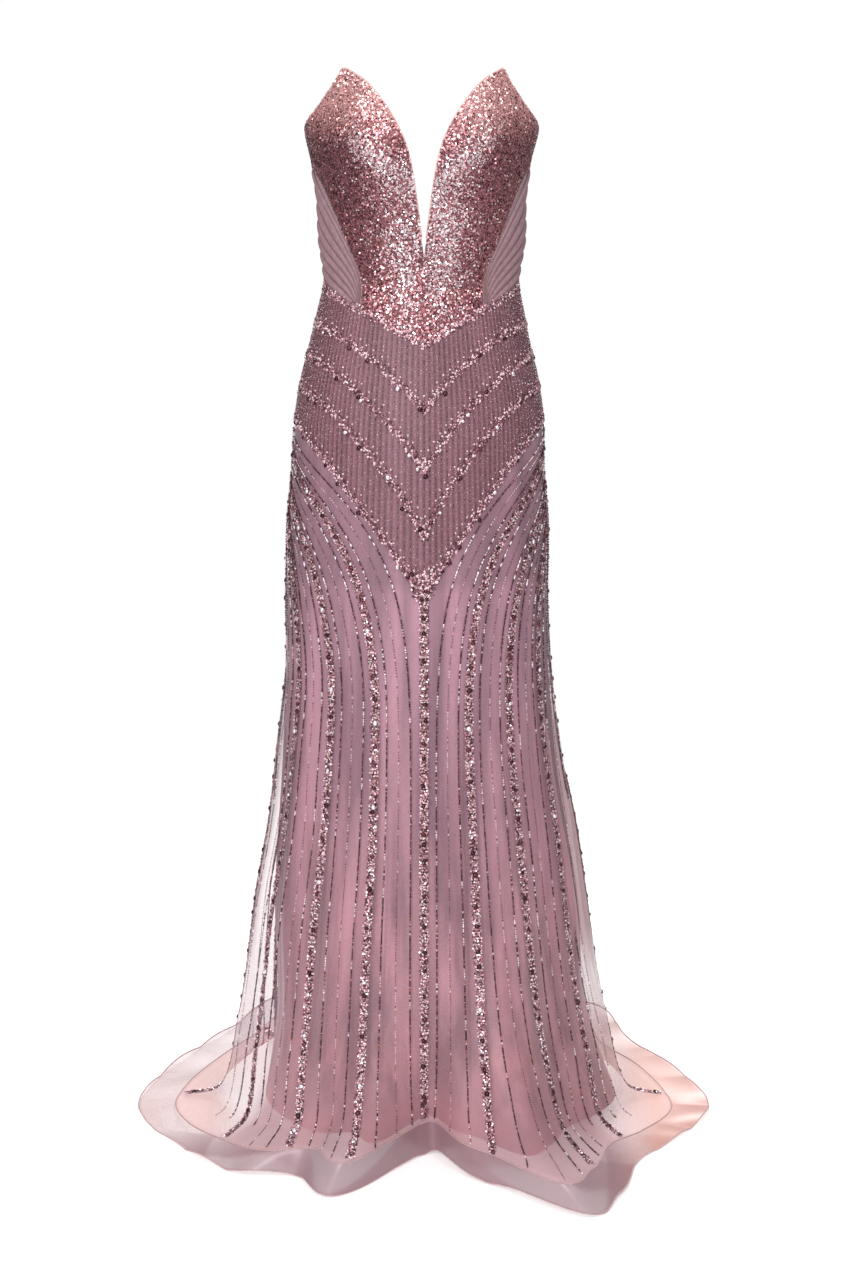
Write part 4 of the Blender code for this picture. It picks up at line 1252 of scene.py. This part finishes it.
for quarter in range(4):
    for order in np.arange(0.25, 4.1 if quarter < 2 else 3.9, 0.25):
        away, down = linePath(order)
        angle = quarterAngle(away, quarter)
        if order % 1 == 0:
            ribbon((angle, down), beadwork["wideHalf"])
            latticeLine((angle, down), *beadwork["wide"])
            studs((angle, down), [0.01, 0.03, 0.1, 0.2, 1.0, 1.0][: 5 + quarter % 2], *beadwork["wideStones"])
            continue
        if order > 2.6 or quarter > 1:  # these thin lines end above the hem
            short = down < (lines["singleStop"] if order % 0.5 == 0 else lines["backedStops"][order > 3.4])
            angle, down = angle[short], down[short]
        if order % 0.5 == 0:
            beadLine((angle, down), *beadwork["single"])
            continue
        ribbon((angle, down), beadwork["backedHalf"])
        beadLine((angle, down), *beadwork["backed"])
        if order < 2.4 and quarter < 2:
            at = (down > beadwork["bugleDown"][0]) & (down < beadwork["bugleDown"][1])
            centre, normal, ahead, _ = along(angle[at], down[at], 0.017, 0.004)
            bugles.add(centre + normal * 0.0012, normal, ahead, beadwork["bugle"], 1.0)
        at = down > 0.75
        if at.sum() > 10:
            centre, normal, ahead, _ = along(angle[at], down[at], 0.12, 0.04)
            copperBeads.add(centre + normal * 0.0014, normal, ahead, beadwork["copperRadius"], 1.0)
for turnedBy in (0.0, 180.0):
    path = (np.full(400, turnedBy), np.linspace(0.378, lines["stop"], 400))
    ribbon(path, beadwork["centreHalf"])
    latticeLine(path, *beadwork["wide"])
    studs(path, [0.01, 0.03, 0.06, 0.15], *beadwork["centreStones"])
for quarter in range(4):
    away = np.linspace(0.0, 90.0, 300)
    angle = quarterAngle(away, quarter)
    for row in chevrons:
        path = (angle, -chevronZ(away, row))
        chevronBand(path, beadwork["chevronHeight"])
        singleBeads(path, *beadwork["singles"])
        studs(path, [0.02, 0.05, 0.12, 0.97], *beadwork["chevronStones"])
    tip = away < 9.0
    chevronBand((angle[tip], path[1][tip]), beadwork["tipHeight"], 0.0005)
    studs((angle[tip], path[1][tip] - 0.008), [0.02, 0.05, 0.9], *beadwork["tipStones"])
    chevronBand((angle, -seamZ(away) + 0.003), beadwork["seamHeight"])
    for step, away in enumerate(np.arange(0.0, 90.0, beadwork["seedDegrees"])):
        down = np.linspace(0.006 - float(seamZ(away)), -float(chevronZ(away, chevrons[3])), 120)
        seedRow((quarterAngle(np.full(120, away), quarter), down), *beadwork["seeds"][step % 2])
wideSequins.build("lineSequins", hexagon, lineFoil, smoothed=False)
thinBeads.build("thinLineBeads", bipyramid, beadGlass)
chevronBeads.build("chevronBeads", beadShape(), beadGlass)
seedBeads.build("seedBeads", bipyramid, beadGlass)
stones.build("stones", stoneShape(), sequinFoil, smoothed=False)
copperBeads.build("copperBeads", octahedron, makePlain("copper glass", (0.75, 0.28, 0.10), 0.2, 0.4))
bugles.build("bugleBeads", octahedron, beadGlass)
ribbonUv = [
    np.stack(np.broadcast_arrays((0.0, 0.5, 1.0), np.arange(len(strip))[:, None]), -1).reshape(-1, 2)
    for strip in ribbons
]
strips = np.concatenate([strip.reshape(-1, 3) for strip in ribbons])
addPiece(
    "beadRibbons",
    makeMesh("beadRibbons", strips, facesOfGrids(ribbons), np.concatenate(ribbonUv)),
    ribbonGround,
    "beaded_tulle",
)
print("stage: skirt beads")

studio = {
    "floorZ": -1.0795,
    "floorHalf": 1.8,
    "pale": (0.9, 0.9, 0.9, 1.0),
    "white": (1.0, 1.0, 1.0, 1.0),
    "glow": 0.34,
    "clear": 0.75,  # the floor starts to fade at this distance from the middle
    "gone": 1.75,
    "fill": 0.37,
    "fillColour": (1.0, 0.98, 0.98, 1.0),
    # place, aim, size, power, colour
    "lights": {
        "keyLeft": ((-1.5, -1.9, 1.5), (0.0, 0.0, 0.1), 0.8, 24.0, (1.0, 0.9, 0.87)),
        "keyRight": ((1.1, -1.4, 1.1), (0.0, 0.0, 0.25), 0.5, 16.0, (1.0, 0.92, 0.92)),
        "front": ((-0.9, -3.3, 0.5), (0.0, 0.0, -0.45), 0.5, 61.0, (1.0, 0.97, 0.985)),
        "back": ((0.3, 2.8, 1.1), (0.0, 0.0, -0.3), 1.2, 85.0, (1.0, 0.97, 0.97)),
    },
    "cameraPlace": (0.0, -2.8, 0.239),
    # in the photograph's own pixels: its height, the lens's length and how far the view is pitched down
    "frameHeight": 1264.0,
    "focal": 2268.0,
    "pitch": 552.0,
}
# A pale floor round the dress that fades out, with the distance from the middle, into the white beyond it.
floorMaterial, floorTree, floorShader = newMaterial("floor")
floorPlace = node(floorTree, "TexCoord").outputs["Object"]
level = node(floorTree, "VectorMath", {0: floorPlace, 1: (1.0, 1.0, 0.0)}, operation="MULTIPLY")
reach = node(floorTree, "VectorMath", {0: level.outputs["Vector"]}, operation="LENGTH").outputs["Value"]
floorLook = {
    "Base Color": studio["pale"],
    "Roughness": 0.8,
    "Emission Color": studio["white"],
    "Emission Strength": studio["glow"],
    "Alpha": mapRange(floorTree, reach, studio["clear"], studio["gone"], 1.0, 0.0, soft=True),
}
plug(floorTree, floorShader, floorLook)
across = np.linspace(-studio["floorHalf"], studio["floorHalf"], 5)
points = np.stack(np.broadcast_arrays(across[None], -across[:, None], studio["floorZ"]), axis=-1)
backdrop = bpy.data.objects.new("backdrop", makeMesh("backdrop", points, gridFaces(5, 5), smoothed=False))
backdrop.data.materials.append(floorMaterial)
scene = bpy.context.scene
scene.collection.objects.link(backdrop)

for name, (place, aim, size, power, colour) in studio["lights"].items():
    data = bpy.data.lights.new(name, "AREA")
    data.size, data.energy, data.color = size, power, colour
    light = bpy.data.objects.new(name, data)
    light.location = place
    ahead = np.array(aim) - np.array(place)
    down = math.atan2(math.hypot(ahead[0], ahead[1]), -ahead[2])
    light.rotation_euler = (down, 0.0, math.atan2(-ahead[0], ahead[1]))
    scene.collection.objects.link(light)
world = bpy.data.worlds.new("studio")
world.use_nodes = True
sky = world.node_tree
seen = sky.nodes["Background"]
plug(sky, seen, {"Color": studio["white"]})
fill = node(sky, "Background", {"Color": studio["fillColour"], "Strength": studio["fill"]})
ray = node(sky, "LightPath").outputs["Is Camera Ray"]
both = node(sky, "MixShader", {0: ray, 1: fill.outputs[0], 2: seen.outputs[0]})
plug(sky, sky.nodes["World Output"], {"Surface": both.outputs[0]})
scene.world = world
scene.view_settings.view_transform = "Standard"
cameraData = bpy.data.cameras.new("camera")
cameraData.lens = studio["focal"] / studio["frameHeight"] * 36.0
camera = bpy.data.objects.new("camera", cameraData)
camera.location = studio["cameraPlace"]
camera.rotation_euler = (math.atan2(studio["focal"], studio["pitch"]), 0.0, 0.0)
scene.collection.objects.link(camera)
scene.camera = camera
print("stage: lights and camera")
bpy.context.view_layer.update()
